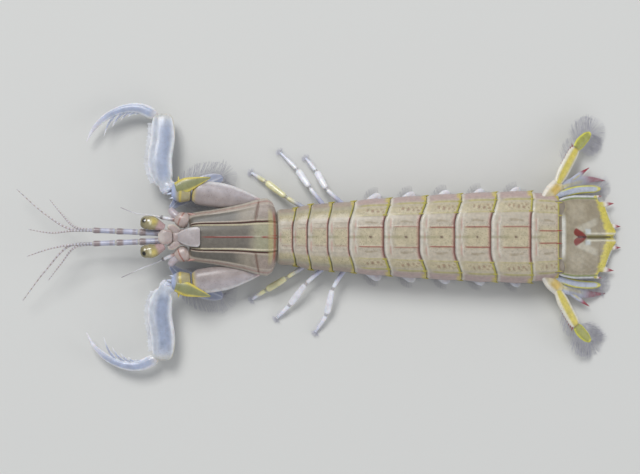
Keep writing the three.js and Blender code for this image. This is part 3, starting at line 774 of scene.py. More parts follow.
@dataclass
class Trunk:
    """The ten free segments behind the carapace."""

    somites: tuple[Somite, ...] = (
        Somite("thorax_somite_5", 4.0, 8.3, 12.7, 0.8),
        Somite("thorax_somite_6", 3.9, 9.4, 13.1, 1.0),
        Somite("thorax_somite_7", 5.6, 9.9, 13.5, 1.2),
        Somite("thorax_somite_8", 5.7, 10.3, 13.8, 1.6),
        Somite("abdomen_somite_1", 9.7, 11.2, 14.2, 2.0),
        Somite("abdomen_somite_2", 9.9, 11.9, 14.5, 2.3),
        Somite("abdomen_somite_3", 9.8, 12.5, 14.6, 2.3),
        Somite("abdomen_somite_4", 10.0, 13.0, 14.5, 2.2),
        Somite("abdomen_somite_5", 11.3, 13.3, 14.1, 0.9),
        Somite("abdomen_somite_6", 7.9, 12.3, 12.7, 0.4),
    )
    neck_half: float = 8.0
    neck_top: float = 12.9
    neck_sweep: float = -0.4
    thorax_count: int = 4
    inner_keel: float = 2.86  # from the midline, on the abdomen
    last_inner_keel: float = 1.8
    keel_height: float = 0.16
    rim: float = 0.42
    _fronts: list[float] = field(default_factory=list)

    def __post_init__(self) -> None:
        """Places each segment behind the one before it."""
        front = CARAPACE_REAR + GAP
        for somite in self.somites:
            self._fronts.append(front)
            front += somite.length + GAP

    def front(self, index: int) -> float:
        """Where a segment's visible back starts."""
        return self._fronts[index]

    def rear(self, index: int) -> float:
        """Where a segment's rear rim lies on the midline."""
        return self._fronts[index] + self.somites[index].length

    def is_last(self, index: int) -> bool:
        """Whether the tail fan hangs on this segment."""
        return index == len(self.somites) - 1

    def _keels(self, index: int) -> tuple[float, ...]:
        """Where one side's keels stand, as shares of the half width.

        Args:
            index: which segment, from the front.

        Returns:
            The places from the inner keel outwards.
        """
        if index < self.thorax_count:
            return (0.42, 0.78)
        half = self.somites[index].half
        if self.is_last(index):
            return (self.last_inner_keel / half, 0.5, 0.8)
        return (self.inner_keel / half, 0.56, 0.82)

    @staticmethod
    def _section() -> tuple[Array, Array, Array]:
        """Half section: share of half width, height share on the back, hang share on the side flap.

        Returns:
            The three shares of each point.
        """
        turn = np.linspace(0, np.pi / 2, 400)
        x = np.sin(turn) ** (2 / BACK_POWER)
        z = np.cos(turn) ** (2 / BACK_POWER)
        run = np.concatenate([[0], np.cumsum(np.hypot(np.diff(x), 0.7 * np.diff(z)))])
        even = np.linspace(0, run[-1], 52)
        share = list(np.interp(even, run, x))
        level = list(np.interp(even, run, z))
        hang = [0.0] * len(share)
        flap = [(0.995, 0.3), (0.985, 0.65), (0.97, 0.92), (0.955, 1.0), (0.935, 0.95), (0.91, 0.6)]
        flap += [(0.87, 0.15), (0.82, 0.0), (0.55, -0.05), (0.28, 0.0), (0.0, 0.05)]
        for across, low in flap:
            share.append(across)
            level.append(0.0)
            hang.append(low)
        return np.array(share), np.array(level), np.array(hang)

    def skin(self, index: int) -> Skin:
        """The segment's closed shell, with its rear rim folded in over the next one.

        Args:
            index: the segment's place behind the carapace.

        Returns:
            The shell.
        """
        somite = self.somites[index]
        before = self.somites[index - 1] if index else None
        front_half = (before.half if before else self.neck_half) * 0.985
        front_top = (before.top if before else self.neck_top) - 0.25
        thoracic = index < self.thorax_count
        length = somite.length
        # place along, inset from the outer wall
        rows = [(-1.2, 0.95), (-0.7, 0.85), (-0.25, 0.62), (0.0, 0.3), (0.25, 0.1), (0.6, 0.02)]
        rows += [(y, 0.0) for y in np.linspace(1.0, length - 0.5, max(8, int(length * 2.2)))]
        rows += [(length - 0.2, -0.05), (length + 0.05, -0.06), (length + 0.16, 0.06), (length + 0.18, 0.22)]
        rows += [(length + 0.1, self.rim), (length - 0.5, self.rim + 0.2), (length - 1.5, self.rim + 0.25)]
        y = np.array([row[0] for row in rows])[:, None]
        inset = np.array([row[1] for row in rows])[:, None]
        v = np.clip(y / length, 0, 1)
        share, level, hang = (part[None] for part in self._section())
        belly_out = 0.22 * np.sin(np.pi * np.clip(v, 0, 1)) * (0 if thoracic else 1)
        half = front_half + (somite.half - front_half) * np.sqrt(v) + belly_out - inset
        top = front_top + (somite.top - front_top) * v + 0.12 * np.sin(np.pi * v) - inset
        drop = (0.5 if thoracic else 1.7) * (0.45 + 0.55 * smooth(0.05, 0.4, v)) + 0 * inset
        x = share * half
        z = BELLY_Z + (top - BELLY_Z) * level - (drop - 0.5 * inset) * hang
        ahead = before.sweep if before else self.neck_sweep
        sweep = smooth(0.3, 1.0, share) * (ahead + (somite.sweep - ahead) * v)
        point = 0.9 * np.clip(hang, 0, 1) * smooth(0.7, 1.0, v) * (0.4 if thoracic else 1)
        z = z + self._relief(index, x, v, share, level)
        y_all = self.front(index) + y + sweep + point + 0 * share
        ones = np.ones_like(y_all)
        over = np.where(hang * ones > 0.01, -np.abs(hang), level * ones)
        return mirrored(np.stack([x, y_all, z], -1), v * ones, share * ones, over)

    def _relief(self, index: int, x: Array, v: Array, share: Array, level: Array) -> Array:
        """Keels and shallow cross grooves on the back.

        Args:
            index: the segment's place behind the carapace.
            x: millimetres from the midline.
            v: shares of the length.
            share: shares of the half width.
            level: height shares on the back.

        Returns:
            Height to add, in millimetres.
        """
        back = smooth(0.02, 0.12, level)
        somite = self.somites[index]
        relief = -0.07 * band(v, 0.17, 0.015, 0.03) * back * smooth(0.62, 0.45, share)
        for place in self._keels(index):
            ridge = bell(x, place * somite.half, 0.24)
            relief = relief + self.keel_height * ridge * smooth(0.12, 0.35, v) * back
        swell = 0.1 * bell(share, 0.69, 0.08) * smooth(0.2, 0.5, v) * smooth(1.0, 0.8, v)
        return relief + swell * back

    def paint(self, index: int) -> Paint:
        """The back's colours: beige with red keels, maroon and yellow-green rims, pink flaps.

        Args:
            index: the segment's place behind the carapace.

        Returns:
            A function that gives each point's colour.
        """
        somite = self.somites[index]
        last = self.is_last(index)
        warm, cream, pink, olive = "c0b48d", "d9d5c9", "bd8a80", "8b8860"
        maroon, lime, red = "6e2e2a", "a9a23f", "8d3327"

        def abdomen(x: Array, u: Array, v: Array) -> list[tuple[str, Array]]:
            """Red inner keels, lime outer ones, a dark dot and broken brown patches.

            Args:
                x: millimetres from the midline.
                u: shares of the half width.
                v: shares of the length.

            Returns:
                Colours and their shares, the first laid on first.
            """
            keel = self.last_inner_keel if last else self.inner_keel
            dot = np.exp(-(x**2 + ((v - 0.63) * somite.length) ** 2) / 0.1)
            broken = np.clip(np.sin(9 * v * somite.length / 2.2) * np.sin(31 * u + 5 * v) * 2.5, 0, 1)
            patches = broken * band(u, 0.67, 0.035, 0.03) * smooth(0.3, 0.4, v)
            wavy = band(u, 0.37 + 0.01 * np.sin(14 * v), 0.012, 0.02)
            return [
                (red, 0.9 * band(x, keel, 0.08, 0.13) * smooth(0.24, 0.34, v)),
                ("4a1c16", np.clip(1.4 * dot, 0, 1) * (0.0 if last else 1.0)),
                (lime, 0.5 * band(u, 0.82, 0.012, 0.02) * smooth(0.1, 0.3, v)),
                (lime, 0.35 * band(u, 0.56, 0.008, 0.016) * smooth(0.1, 0.3, v)),
                ("7a4a38", 0.55 * patches),
                ("8a7a5c", 0.5 * wavy * smooth(0.42, 0.5, v) * smooth(0.86, 0.8, v)),
            ]

        def colours(skin: Skin) -> Array:
            """Colour of each point.

            Args:
                skin: the surface that is painted.

            Returns:
                One colour for each point.
            """
            u, v = skin.edge, skin.t
            x = u * somite.half
            thorax = [
                (olive, 0.35 * smooth(0.5, 0.85, u)),
                (red, 0.35 * band(x, 2.6, 0.05, 0.16) * smooth(0.2, 0.5, v)),
            ]
            side = smooth(0.5, 0.62, u)
            return coats(
                skin, "bdb3a1",
                (warm, 0.55 * band(u, 0.0, 0.16, 0.16) * smooth(0.15, 0.4, v)),
                (warm, 0.6 * band(u, 0.66, 0.06, 0.09)),
                ("b59b99", 0.75 * smooth(0.82, 0.9, u)),
                (cream, 0.85 * smooth(0.12, 0.04, v)),
                (pink, 0.6 * band(v, 0.15 + 0.1 * u, 0.008, 0.014) * smooth(0.5, 0.36, u)),
                (cream, 0.5 * band(v, 0.19 + 0.1 * u, 0.012, 0.02) * smooth(0.5, 0.36, u)),
                (olive, 0.55 * band(x, 0.0, 0.1, 0.5) * smooth(0.75, 0.3, v)),
                *(thorax if index < self.thorax_count else abdomen(x, u, v)),
                (pink, 0.45 * band(v, 0.955, 0.008, 0.02) * (1 - side)),
                (lime if last else maroon, 0.9 * smooth(0.968, 0.985, v) * (1 - side)),
                (lime, 0.9 * smooth(0.95, 0.98, v) * side),
                ("cdbb5c", 0.75 * smooth(0.86, 0.93, u) * smooth(0.84, 0.93, v)),
                ("dbd9d2", 0.6 * (skin.over < -0.8)),
            )

        return colours

    def specks(self, skin: Skin) -> Array:
        """Dark specks lie in the middle band and along two side bands.

        Args:
            skin: the surface that is speckled.

        Returns:
            Density of the specks.
        """
        u = skin.edge
        density = 0.8 * band(u, 0.0, 0.3, 0.16) + 0.7 * band(u, 0.66, 0.07, 0.06) + 0.15
        fade = smooth(0.16, 0.26, skin.t) * smooth(0.975, 0.955, skin.t) * (skin.over > 0.02)
        return density * fade + 0.9 * band(skin.t, 0.94, 0.012, 0.02) * smooth(0.5, 0.4, u)

    def build(self) -> None:
        """Makes each segment with its rear spines."""
        for index, somite in enumerate(self.somites):
            piece = Piece(f"{somite.name}_skin", "shell", SHELL)
            piece.add(self.skin(index), self.paint(index), self.specks)
            for side in Side:
                self._spines(piece, index, side)
            piece.make()

    def _spines(self, piece: Piece, index: int, side: Side) -> None:
        """Adds the points at the rear end of the keels and the side flaps.

        Args:
            piece: what the spines join.
            index: the segment's place behind the carapace.
            side: which side of the body.
        """
        somite = self.somites[index]
        rear = self.rear(index)
        lime, red = "b9ad4e", "9b4038"
        last = self.is_last(index)
        low = BELLY_Z - 0.4 if last else BELLY_Z + 0.3
        corner = (somite.half * 0.97, rear + somite.sweep - 0.7, low)
        tip = (somite.half * 0.97 + 0.7, rear + somite.sweep + 1.2, low - 0.5)
        piece.add(thorn(*flipped([corner, tip], side), 0.5), lime)
        if index < self.thorax_count:
            return
        keels = self._keels(index)
        for place in keels if last else keels[1:]:
            height = (1 - place**BACK_POWER) ** (1 / BACK_POWER)
            z = BELLY_Z + (somite.top - BELLY_Z) * height
            reach = 1.2 if last else 0.8
            y = rear + somite.sweep * float(smooth(0.3, 1.0, np.array(place)))
            root = flipped([(place * somite.half, y - 0.7, z - 0.05)], side)[0]
            end = flipped([(place * somite.half + 0.05, y + reach, z + 0.05)], side)[0]
            piece.add(thorn(root, end, 0.3), red if last and place < 0.3 else lime)


@dataclass
class Carapace:
    """The shield over the head and the front of the trunk, with its hinged front plate."""

    plan: tuple[Point, ...] = (
        (0, 6.6, 11.7), (0.05, 7.1, 11.9), (0.3, 8.1, 12.5), (0.6, 9.6, 13.1), (0.8, 10.9, 13.5),
        (0.92, 11.2, 13.5), (1, 10.2, 13.3),
    )
    section: tuple[Point, ...] = (
        (0, 0), (0.2, 0.05), (0.36, 0.25), (0.55, 0.55), (0.72, 0.95), (0.88, 1.75), (0.96, 2.5),
        (1, 3.1),
    )
    groove: float = 0.42  # where the long grooves run, as a share of the half width
    rows: int = 90

    def _top(self, share: Array, v: Array) -> Array:
        """Drop of the upper surface below the crown.

        Args:
            share: shares of the half width.
            v: shares of the length.

        Returns:
            The drop in millimetres.
        """
        drop = track(self.section, share)
        trench = bell(share, self._groove_at(v), 0.022)
        keel = np.exp(-(((share - self._groove_at(v) + 0.055) / 0.02) ** 2))
        middle = bell(share, 0, 0.018) * smooth(0.25, 0.35, v) * smooth(1.0, 0.93, v)
        cross = np.exp(-(((v - 0.745 - 0.05 * share**2) / 0.014) ** 2)) * smooth(0.35, 0.55, share)
        side_keel = bell(share, 0.86, 0.025) * smooth(0.1, 0.3, v)
        return drop + 0.38 * trench - 0.22 * keel - 0.14 * middle + 0.22 * cross - 0.16 * side_keel

    def _groove_at(self, v: Array) -> Array:
        """The grooves open forward and end before the rear third."""
        return self.groove + 0.1 * smooth(0.7, 0.0, v) - 0.02 * smooth(0.6, 0.9, v)

    def skin(self) -> Skin:
        """The shield's closed shell: upper side, rolled edge, hollow underside and body wall.

        Returns:
            The shell.
        """
        v = np.concatenate([[0.0, 0.004, 0.012], np.linspace(0.03, 0.97, self.rows), [0.985, 0.996, 1.0]])
        inset = np.zeros_like(v)
        inset[:2] = (0.35, 0.1)
        inset[-2:] = (0.1, 0.35)
        half = track(self.plan, v, 1) - inset
        crown = track(self.plan, v, 2)
        parts = (np.linspace(0, 0.36, 22), np.linspace(0.37, 0.6, 34)[:-1], np.linspace(0.6, 1, 30))
        top = np.concatenate(parts)
        low = [(0.995, 3.45), (0.97, 3.6), (0.93, 3.5), (0.8, 3.5)]
        low += [(0.62, 4.2), (0.5, 6.3), (0.25, 6.8), (0, 6.9)]
        share = np.concatenate([top, [row[0] for row in low]])[None]
        grid_v = np.repeat(v[:, None], share.shape[1], 1)
        grid_share = np.repeat(share, len(v), 0)
        upper = self._top(grid_share, grid_v)
        under = np.concatenate([np.zeros(len(top)), [row[1] for row in low]])[None]
        is_under = np.concatenate([np.zeros(len(top)), np.ones(len(low))])[None] > 0
        flat = np.where(is_under, under - inset[:, None], upper + inset[:, None])
        x = grid_share * half[:, None]
        length = CARAPACE_REAR - CARAPACE_FRONT
        bow = -1.5 * smooth(0.75, 1.0, grid_v) * grid_share**4
        bow = bow + 0.25 * smooth(0.9, 1, grid_v) * (1 - grid_share)
        corner = -0.9 * smooth(0.12, 0.0, grid_v) * smooth(0.75, 1, grid_share)
        y = CARAPACE_FRONT + length * grid_v + bow + corner
        z = crown[:, None] - flat
        face = np.where(is_under, -1.0, 1.0) * np.ones_like(grid_v)
        return mirrored(np.stack([x, y, z], -1), grid_v, grid_share, face)

    def paint(self, skin: Skin) -> Array:
        """Dark panels between maroon grooves, pale keels, and a green-cream rear with a rusty line.

        Args:
            skin: the surface that is painted.

        Returns:
            One colour for each point.
        """
        u, v = skin.edge, skin.t
        groove = self._groove_at(v)
        side = smooth(groove + 0.03, groove + 0.1, u) * smooth(0.86, 0.78, u)
        rear = smooth(0.66, 0.82, v)
        return coats(
            skin, "958c7d",
            ("67625a", 0.85 * smooth(groove - 0.06, groove - 0.12, u) * smooth(0.78, 0.62, v)),
            ("56544f", 0.8 * side * smooth(0.66, 0.45, v)),
            ("a2a083", 0.8 * rear * smooth(0.5, 0.36, u)),
            ("9c8d84", 0.75 * rear * smooth(0.45, 0.6, u)),
            ("c4bb9f", 0.95 * band(u, groove - 0.058, 0.016, 0.02) * smooth(0.0, 0.1, v)),
            ("b9a99b", 0.7 * band(u, groove + 0.05, 0.012, 0.02) * smooth(0.95, 0.85, v)),
            ("b5a99c", 0.8 * band(u, 0.87, 0.025, 0.03)),
            ("b59088", 0.6 * band(u, 0.925, 0.012, 0.02)),
            ("4c1d1a", 0.95 * band(u, groove, 0.012, 0.018) * smooth(0.98, 0.9, v)),
            ("8e2a20", 0.95 * band(u, 0, 0.012, 0.012) * smooth(0.1, 0.2, v) * smooth(0.76, 0.7, v)),
            ("8e2a20", 0.8 * band(u, 0.25 * (v - 0.82), 0.008, 0.012) * smooth(0.8, 0.84, v)),
            ("6b4a3a", 0.7 * band(v, 0.745 + 0.05 * u**2, 0.006, 0.012) * smooth(0.35, 0.5, u)),
            ("b3a673", 0.6 * band(v, 0.925, 0.014, 0.02) * smooth(0.8, 0.55, u)),
            ("98482f", 0.75 * band(v, 0.966, 0.004, 0.01) * smooth(0.75, 0.5, u)),
            ("4a3428", 0.8 * smooth(0.975, 0.99, v) * smooth(0.8, 0.6, u)),
            ("c9c2b4", 0.6 * band(u, 0.975, 0.02, 0.02)),
        )

    @staticmethod
    def specks(skin: Skin) -> Array:
        """Fine dark specks over the whole upper side."""
        return 0.5 * (skin.over > 0) * smooth(0.05, 0.15, skin.t)

    def build(self) -> None:
        """Makes the shield and its front plate."""
        piece = Piece("carapace_skin", "shell", SHIELD)
        piece.add(self.skin(), self.paint, self.specks)
        for side in Side:
            root, tip = flipped([(6.2, -29.6, 9.6), (7.0, -32.2, 9.3)], side)
            piece.add(thorn(root, tip, 0.55), "b58f86")
        piece.make()
        self._front_plate()

    def _front_plate(self) -> None:
        """The rounded plate over the eye bases, with a short median keel."""
        path = Path([(0, -28.0, 12.6), (0, -31, 12.35), (0, -34.6, 11.3)])
        widths = [(0, 2.3, 0.4), (0.15, 2.9, 0.55), (0.45, 2.75, 0.6), (0.8, 1.9, 0.55), (1, 1.0, 0.35)]

        def keel(t: Array, across: Array, over: Array) -> Array:
            """A short ridge on the middle of the front half."""
            line = 0.22 * bell(across, 0, 0.09)
            return line * smooth(0.35, 0.55, t) * smooth(1, 0.9, t) * (over > 0)

        def paint(skin: Skin) -> Array:
            """Bluish pink with a pale rim."""
            return coats(
                skin, "b3aaa9",
                ("d6d2d2", 0.7 * smooth(0.7, 0.95, skin.edge)),
                ("a05a50", 0.5 * band(skin.across, 0, 0.05, 0.08) * smooth(0.5, 0.2, skin.t)),
            )

        skin = limb(path, widths, sides=44, steps=36, boxy=0.8, swell=keel)
        Piece("rostral_plate_skin", "shell", PINK_SHELL).add(skin, paint, 0.15).make()


# Head and claws


@dataclass
class Head:
    """The jointed front of the head with its stalked eyes."""

    eye_stations: tuple[Point, ...] = (
        (0, 0.9, 0.9), (0.25, 1.45, 1.35), (0.6, 2.05, 1.75), (0.85, 1.8, 1.6), (0.96, 1.3, 1.2),
        (1, 0.8, 0.8),
    )

    def build(self) -> None:
        """Makes the two head segments and both eyes."""
        self._antennular()
        self._ophthalmic()
        for side in Side:
            self._eye(side)

    def _antennular(self) -> None:
        """The segment that carries the first feelers, with its two blunt side points."""
        rosy, pale = "b3a29d", "d3c9bb"
        piece = Piece("antennular_somite_skin", "shell", PINK_SHELL)
        path = Path([(0, -31.6, 9.6), (0, -34.5, 9.7), (0, -37.3, 9.4)])
        piece.add(limb(path, [(0, 2.3, 1.3), (0.6, 2.1, 1.35), (1, 1.5, 1.0)]), rosy, 0.1)
        for side in Side:
            arm = Path(flipped([(1.4, -34.2, 10.2), (2.5, -35.9, 10.6), (3.1, -37.5, 10.75)], side))
            stations = [(0, 0.9, 0.5), (0.5, 1.1, 0.5), (0.8, 0.9, 0.42), (1, 0.5, 0.35)]

            def paint(skin: Skin) -> Array:
                """Rosy with a pale rim."""
                edge = smooth(0.55, 0.9, skin.edge) + smooth(0.8, 1, skin.t)
                return coats(skin, rosy, (pale, np.clip(edge, 0, 1)))

            piece.add(limb(arm, stations, sides=24, steps=24), paint, 0.1)
            knob = flipped([(0.9, -38.2, 10.4), (1.1, -39.2, 10.5)], side)
            piece.add(thorn(knob[0], knob[1], 0.5, sides=12), "c7b45a")
        piece.make()

    def _ophthalmic(self) -> None:
        """The pinkish plate between the eyes."""
        path = Path([(0, -36.2, 11.3), (0, -38, 11.55), (0, -40.2, 11.2)])
        stations = [(0, 1.5, 0.5), (0.3, 2.15, 0.7), (0.65, 2.2, 0.75), (1, 1.2, 0.45)]

        def paint(skin: Skin) -> Array:
            """Pink with a pale front."""
            return coats(
                skin, "b3a5a0",
                ("9f6a58", 0.6 * band(skin.edge, 0.74, 0.02, 0.05) * (skin.over > 0)),
                ("d3cbc4", 0.7 * smooth(0.4, 0.9, skin.t)),
            )

        piece = Piece("ophthalmic_somite_skin", "shell", PINK_SHELL)
        piece.add(limb(path, stations, sides=36, steps=26, boxy=0.72), paint, 0.1).make()

    def _eye(self, side: Side) -> None:
        """One eye: stalk, two-lobed golden cornea and the dark spot at its front inner end.

        Args:
            side: which side of the body.
        """
        path = Path(flipped([(2.6, -38.4, 10.9), (3.9, -41.6, 11.3), (4.3, -45.3, 11.6)], side))

        def waist(t: Array, across: Array, over: Array) -> Array:
            """The cornea's faint middle band."""
            return -0.08 * bell(t, 0.72, 0.04)

        def paint(skin: Skin) -> Array:
            """Pink stalk, golden middle, pale green-white glint, black front spot.

            Args:
                skin: the surface that is painted.

            Returns:
                One colour for each point.
            """
            inner = -skin.across * side.value
            patch = np.exp(-(((skin.t - 0.5) / 0.13) ** 2 + ((inner - 0.35) / 0.55) ** 2))
            glint = np.exp(-(((skin.t - 0.62) / 0.05) ** 2 + ((inner - 0.1) / 0.3) ** 2))
            reach = ((skin.t - 0.86) / 0.075) ** 2 + ((inner - 0.3) / 0.36) ** 2
            spot = np.exp(-(reach**2)) * (skin.over > -0.3)
            return coats(
                skin, "b79a98",
                ("9a906c", smooth(0.28, 0.42, skin.t)),
                ("dcc766", 0.8 * patch * (skin.over > -0.5)),
                ("eeeccf", 0.85 * glint * (skin.over > 0)),
                ("77714f", 0.75 * smooth(0.78, 0.92, skin.t)),
                ("0b0a09", np.clip(1.3 * spot, 0, 1)),
            )

        skin = limb(path, self.eye_stations, sides=40, steps=44, swell=waist)
        piece = Piece(f"eye_{side.word}_skin", "eye", EYE)
        piece.add(skin, paint, lambda s: 0.5 * smooth(0.35, 0.5, s.t)).make()


@dataclass
class Feelers:
    """First and second feelers with their whips and the leaf-like scales."""

    stalk_joints: tuple[float, ...] = (-39.6, -46.0, -52.6, -59.3)
    stalk_z: float = 9.5
    whip_tips: tuple[tuple[Side, tuple[tuple[Point, ...], ...]], ...] = (
        (Side.LEFT, (
            ((2.6, -66, 9.6), (9.5, -73, 8.2), (18.6, -80.4, 5.2)),
            ((3.0, -64.5, 9.4), (7.6, -68.5, 8.6), (12.6, -72.6, 7.0)),
            ((2.2, -65, 9.9), (3.4, -71.5, 10.6), (5.6, -78.2, 10.4)),
        )),
        (Side.RIGHT, (
            ((2.4, -66, 9.6), (6.8, -73.5, 8.4), (14.0, -82.2, 5.4)),
            ((2.9, -64.5, 9.4), (6.6, -68.4, 8.8), (11.0, -72.2, 7.4)),
            ((1.8, -65, 9.9), (1.2, -71, 10.8), (2.2, -77.6, 11.0)),
        )),
    )
    second_whips: tuple[tuple[Side, tuple[Point, ...]], ...] = (
        (Side.LEFT, ((5.6, -37, 8.8), (7.4, -41.2, 8.4), (9.4, -46, 7.8), (11.8, -51.4, 6.8))),
        (Side.RIGHT, ((5.2, -37, 8.8), (6.2, -42, 8.6), (6.9, -47, 8.2), (8.6, -51.6, 7.4))),
    )
    scale_path: tuple[Point, ...] = (
        (8.3, -37.0, 7.3), (11.0, -34.4, 5.0), (14.6, -29.0, 3.2), (17.6, -22.2, 2.4)
    )
    scale_widths: tuple[Point, ...] = (
        (0, 0.7, 0.45), (0.2, 1.4, 0.4), (0.65, 2.9, 0.32), (0.9, 2.1, 0.28), (1, 0.7, 0.25),
    )

    def build(self) -> None:
        """Makes the feelers of both sides."""
        for side, whips in self.whip_tips:
            self._first(side, whips)
        for side, whip in self.second_whips:
            self._second(side, whip)
        for side in Side:
            self._scale(side)

    def _first(self, side: Side, whips: Sequence[Sequence[Point]]) -> None:
        """A first feeler: three stalk joints with brown ends, then three ringed whips.

        Args:
            side: which side of the body.
            whips: the points of its three whips.
        """
        piece = Piece(f"antennule_{side.word}_skin", "feeler", FEELER)
        blue, brown, cream = "b6b8c9", "84664f", "cdc6b0"

        def stalk_paint(skin: Skin) -> Array:
            """Bluish, brown before the far joint, cream at the joints."""
            return coats(
                skin, blue,
                (brown, 0.65 * band(skin.t, 0.8, 0.09, 0.1)),
                (brown, 0.4 * band(skin.t, 0.2, 0.04, 0.08)),
                (cream, 0.8 * (smooth(0.93, 0.98, skin.t) + smooth(0.06, 0.02, skin.t))),
            )

        for i in range(3):
            near, far = self.stalk_joints[i], self.stalk_joints[i + 1]
            rows = (near + 0.1, (near + far) / 2, far - 0.1)
            path = Path([(side.value * (1.15 - 0.04 * (y + 39.6)), y, self.stalk_z) for y in rows])
            r = 0.97 - 0.08 * i
            ends = [(0, r * 0.72, r * 0.72), (0.08, r * 0.95, r * 0.95), (0.5, r * 0.9, r * 0.88)]
            ends += [(0.9, r * 1.04, r), (1, r * 0.8, r * 0.8)]
            piece.add(limb(path, ends, sides=24, steps=28), stalk_paint, 0.1)

        def ringed(skin: Skin) -> Array:
            """Pale with dark rings that get closer towards the tip."""
            rings = 0.5 + 0.5 * np.sin(2 * np.pi * 22 * skin.t)
            return coats(skin, "c7c3c9", ("86715a", 0.8 * rings**3), ("b9b7cb", smooth(0.15, 0.0, skin.t)))

        stem = (side.value * 1.9, self.stalk_joints[3] + 1.2, self.stalk_z)
        for tip in whips:
            path = Path([stem, *flipped(tip, side)])

            def joints(t: Array, across: Array, over: Array) -> Array:
                """Each ring swells a little."""
                return 0.02 * np.sin(2 * np.pi * 44 * t)

            skin = limb(path, [(0, 0.44, 0.44), (0.4, 0.3, 0.3), (1, 0.12, 0.12)], 10, 130, swell=joints)
            piece.add(skin, ringed)
        piece.make()

    def _second(self, side: Side, whip: Sequence[Point]) -> None:
        """A second feeler: round knob, side arm, two thin joints and one whip.

        Args:
            side: which side of the body.
            whip: the points of its whip.
        """
        piece = Piece(f"antenna_{side.word}_skin", "feeler", FEELER)
        rosy, red = "bcaca5", "96503f"

        def knob_paint(skin: Skin) -> Array:
            """Rosy with one curved red line."""
            line = band(skin.t, 0.62 + 0.16 * skin.across * side.value, 0.02, 0.03) * (skin.over > 0)
            return coats(skin, rosy, (red, 0.8 * line))

        knob = Path(flipped([(4.4, -31.6, 8.9), (4.9, -33.4, 9.1), (5.0, -35.6, 8.8)], side))
        widths = [(0, 1.5, 1.3), (0.3, 2.3, 1.7), (0.6, 2.3, 1.7), (0.85, 1.7, 1.3), (1, 1.1, 0.9)]
        piece.add(limb(knob, widths, sides=36, steps=30), knob_paint, 0.1)
        arm = Path(flipped([(5.0, -33.6, 8.7), (6.4, -35.6, 8.5), (8.2, -37.2, 8.0)], side))
        stations = [(0, 1.5, 1.2), (0.6, 1.2, 1.05), (1, 0.8, 0.7)]
        piece.add(limb(arm, stations, 24, 22), "beb4b8", 0.05)

        def whip_paint(skin: Skin) -> Array:
            """Red-brown joints, then a white whip that darkens at the tip."""
            return coats(
                skin, "d9d8dc",
                ("a37a70", smooth(0.3, 0.1, skin.t)),
                ("5f5552", 0.8 * band(skin.t, 0.38, 0.01, 0.02)),
                ("8d8790", smooth(0.7, 1.0, skin.t)),
            )

        path = Path([flipped([(5.0, -34.6, 9.0)], side)[0], *flipped(whip, side)])
        widths = [(0, 0.78, 0.7), (0.33, 0.55, 0.5), (0.38, 0.58, 0.52), (0.41, 0.3, 0.3), (1, 0.1, 0.1)]
        piece.add(limb(path, widths, sides=14, steps=90), whip_paint)
        piece.make()

    def _scale(self, side: Side) -> None:
        """The leaf of the second feeler, fringed with setae.

        Args:
            side: which side of the body.
        """
        path = Path(flipped(self.scale_path, side))

        def paint(skin: Skin) -> Array:
            """Clear blue-grey with a pale midrib and rim."""
            return coats(
                skin, "9fa6bb",
                ("d3d6e2", 0.8 * band(skin.across, 0.0, 0.05, 0.1)),
                ("c9ccd9", smooth(0.8, 1.0, skin.edge)),
            )

        def rib(t: Array, across: Array, over: Array) -> Array:
            """A midrib on both faces."""
            return 0.1 * bell(across, 0, 0.1)

        skin = limb(path, self.scale_widths, sides=30, steps=46, swell=rib)
        Piece(f"antennal_scale_{side.word}_skin", "feeler", CLAW).add(skin, paint).make()
        fringe = Setae()
        for edge in (-1, 1):
            fringe_round(fringe, path, self.scale_widths, edge, 0.3, 1.0, 130, 4.6)
        fringe_tip(fringe, path, self.scale_widths, 40, 4.6)
        fringe.make(f"antennal_scale_setae_{side.word}", "feeler", "b9b8c0", radius=0.0062)


def fringe_round(
    setae: Setae,
    path: Path,
    stations: Sequence[Point],
    edge: int,
    start: float,
    end: float,
    count: int,
    reach: float,
    lean: float = 0.9,
    up: Point = (0, 0, 1),
) -> None:
    """Grows a fringe along one edge of a leaf.

    Args:
        setae: what the bristles join.
        path: the leaf's middle line.
        stations: its widths.
        edge: 1 or -1, the side of the path.
        start: first place along the path.
        end: last place.
        count: how many bristles.
        reach: their length in the middle of the fringe, in millimetres.
        lean: how far they lie along the path, 0 stands straight out.
        up: which way the leaf's face looks.
    """
    t = np.linspace(start, end, count)
    way = path.way(t)
    out = np.cross(way, np.array(up, float)) * edge
    out /= np.linalg.norm(out, axis=1)[:, None]
    roots = path.at(t) + out * (track(stations, t, 1) * 0.93)[:, None]
    swing = 0.16 * np.sin(np.arange(count) * 2.4)[:, None]
    ease = 0.7 + 0.3 * np.sin(np.pi * (t - start) / (end - start))
    setae.fringe(roots, out + way * (lean * (0.4 + 0.9 * t[:, None])) + swing * way, reach * ease)


def fringe_tip(
    setae: Setae, path: Path, stations: Sequence[Point], count: int, reach: float, spread: float = 1.2
) -> None:
    """Grows a fan of bristles round a leaf's tip.

    Args:
        setae: what the bristles join.
        path: the middle line.
        stations: its sizes along the way.
        count: how many bristles.
        reach: their length in millimetres.
        spread: half angle of the fan, in radians.
    """
    way = path.way(np.array([1.0]))[0]
    out = np.cross(way, (0, 0, 1))
    out /= np.linalg.norm(out)
    turn = np.linspace(-spread, spread, count)[:, None]
    end = path.at(np.array([0.99]))[0]
    aims = way * np.cos(turn) + out * np.sin(turn)
    roots = end + out * np.sin(turn) * track(stations, np.array([0.99]), 1)[0]
    setae.fringe(roots, aims, reach * (1 - 0.12 * np.abs(np.sin(3 * turn[:, 0]))))


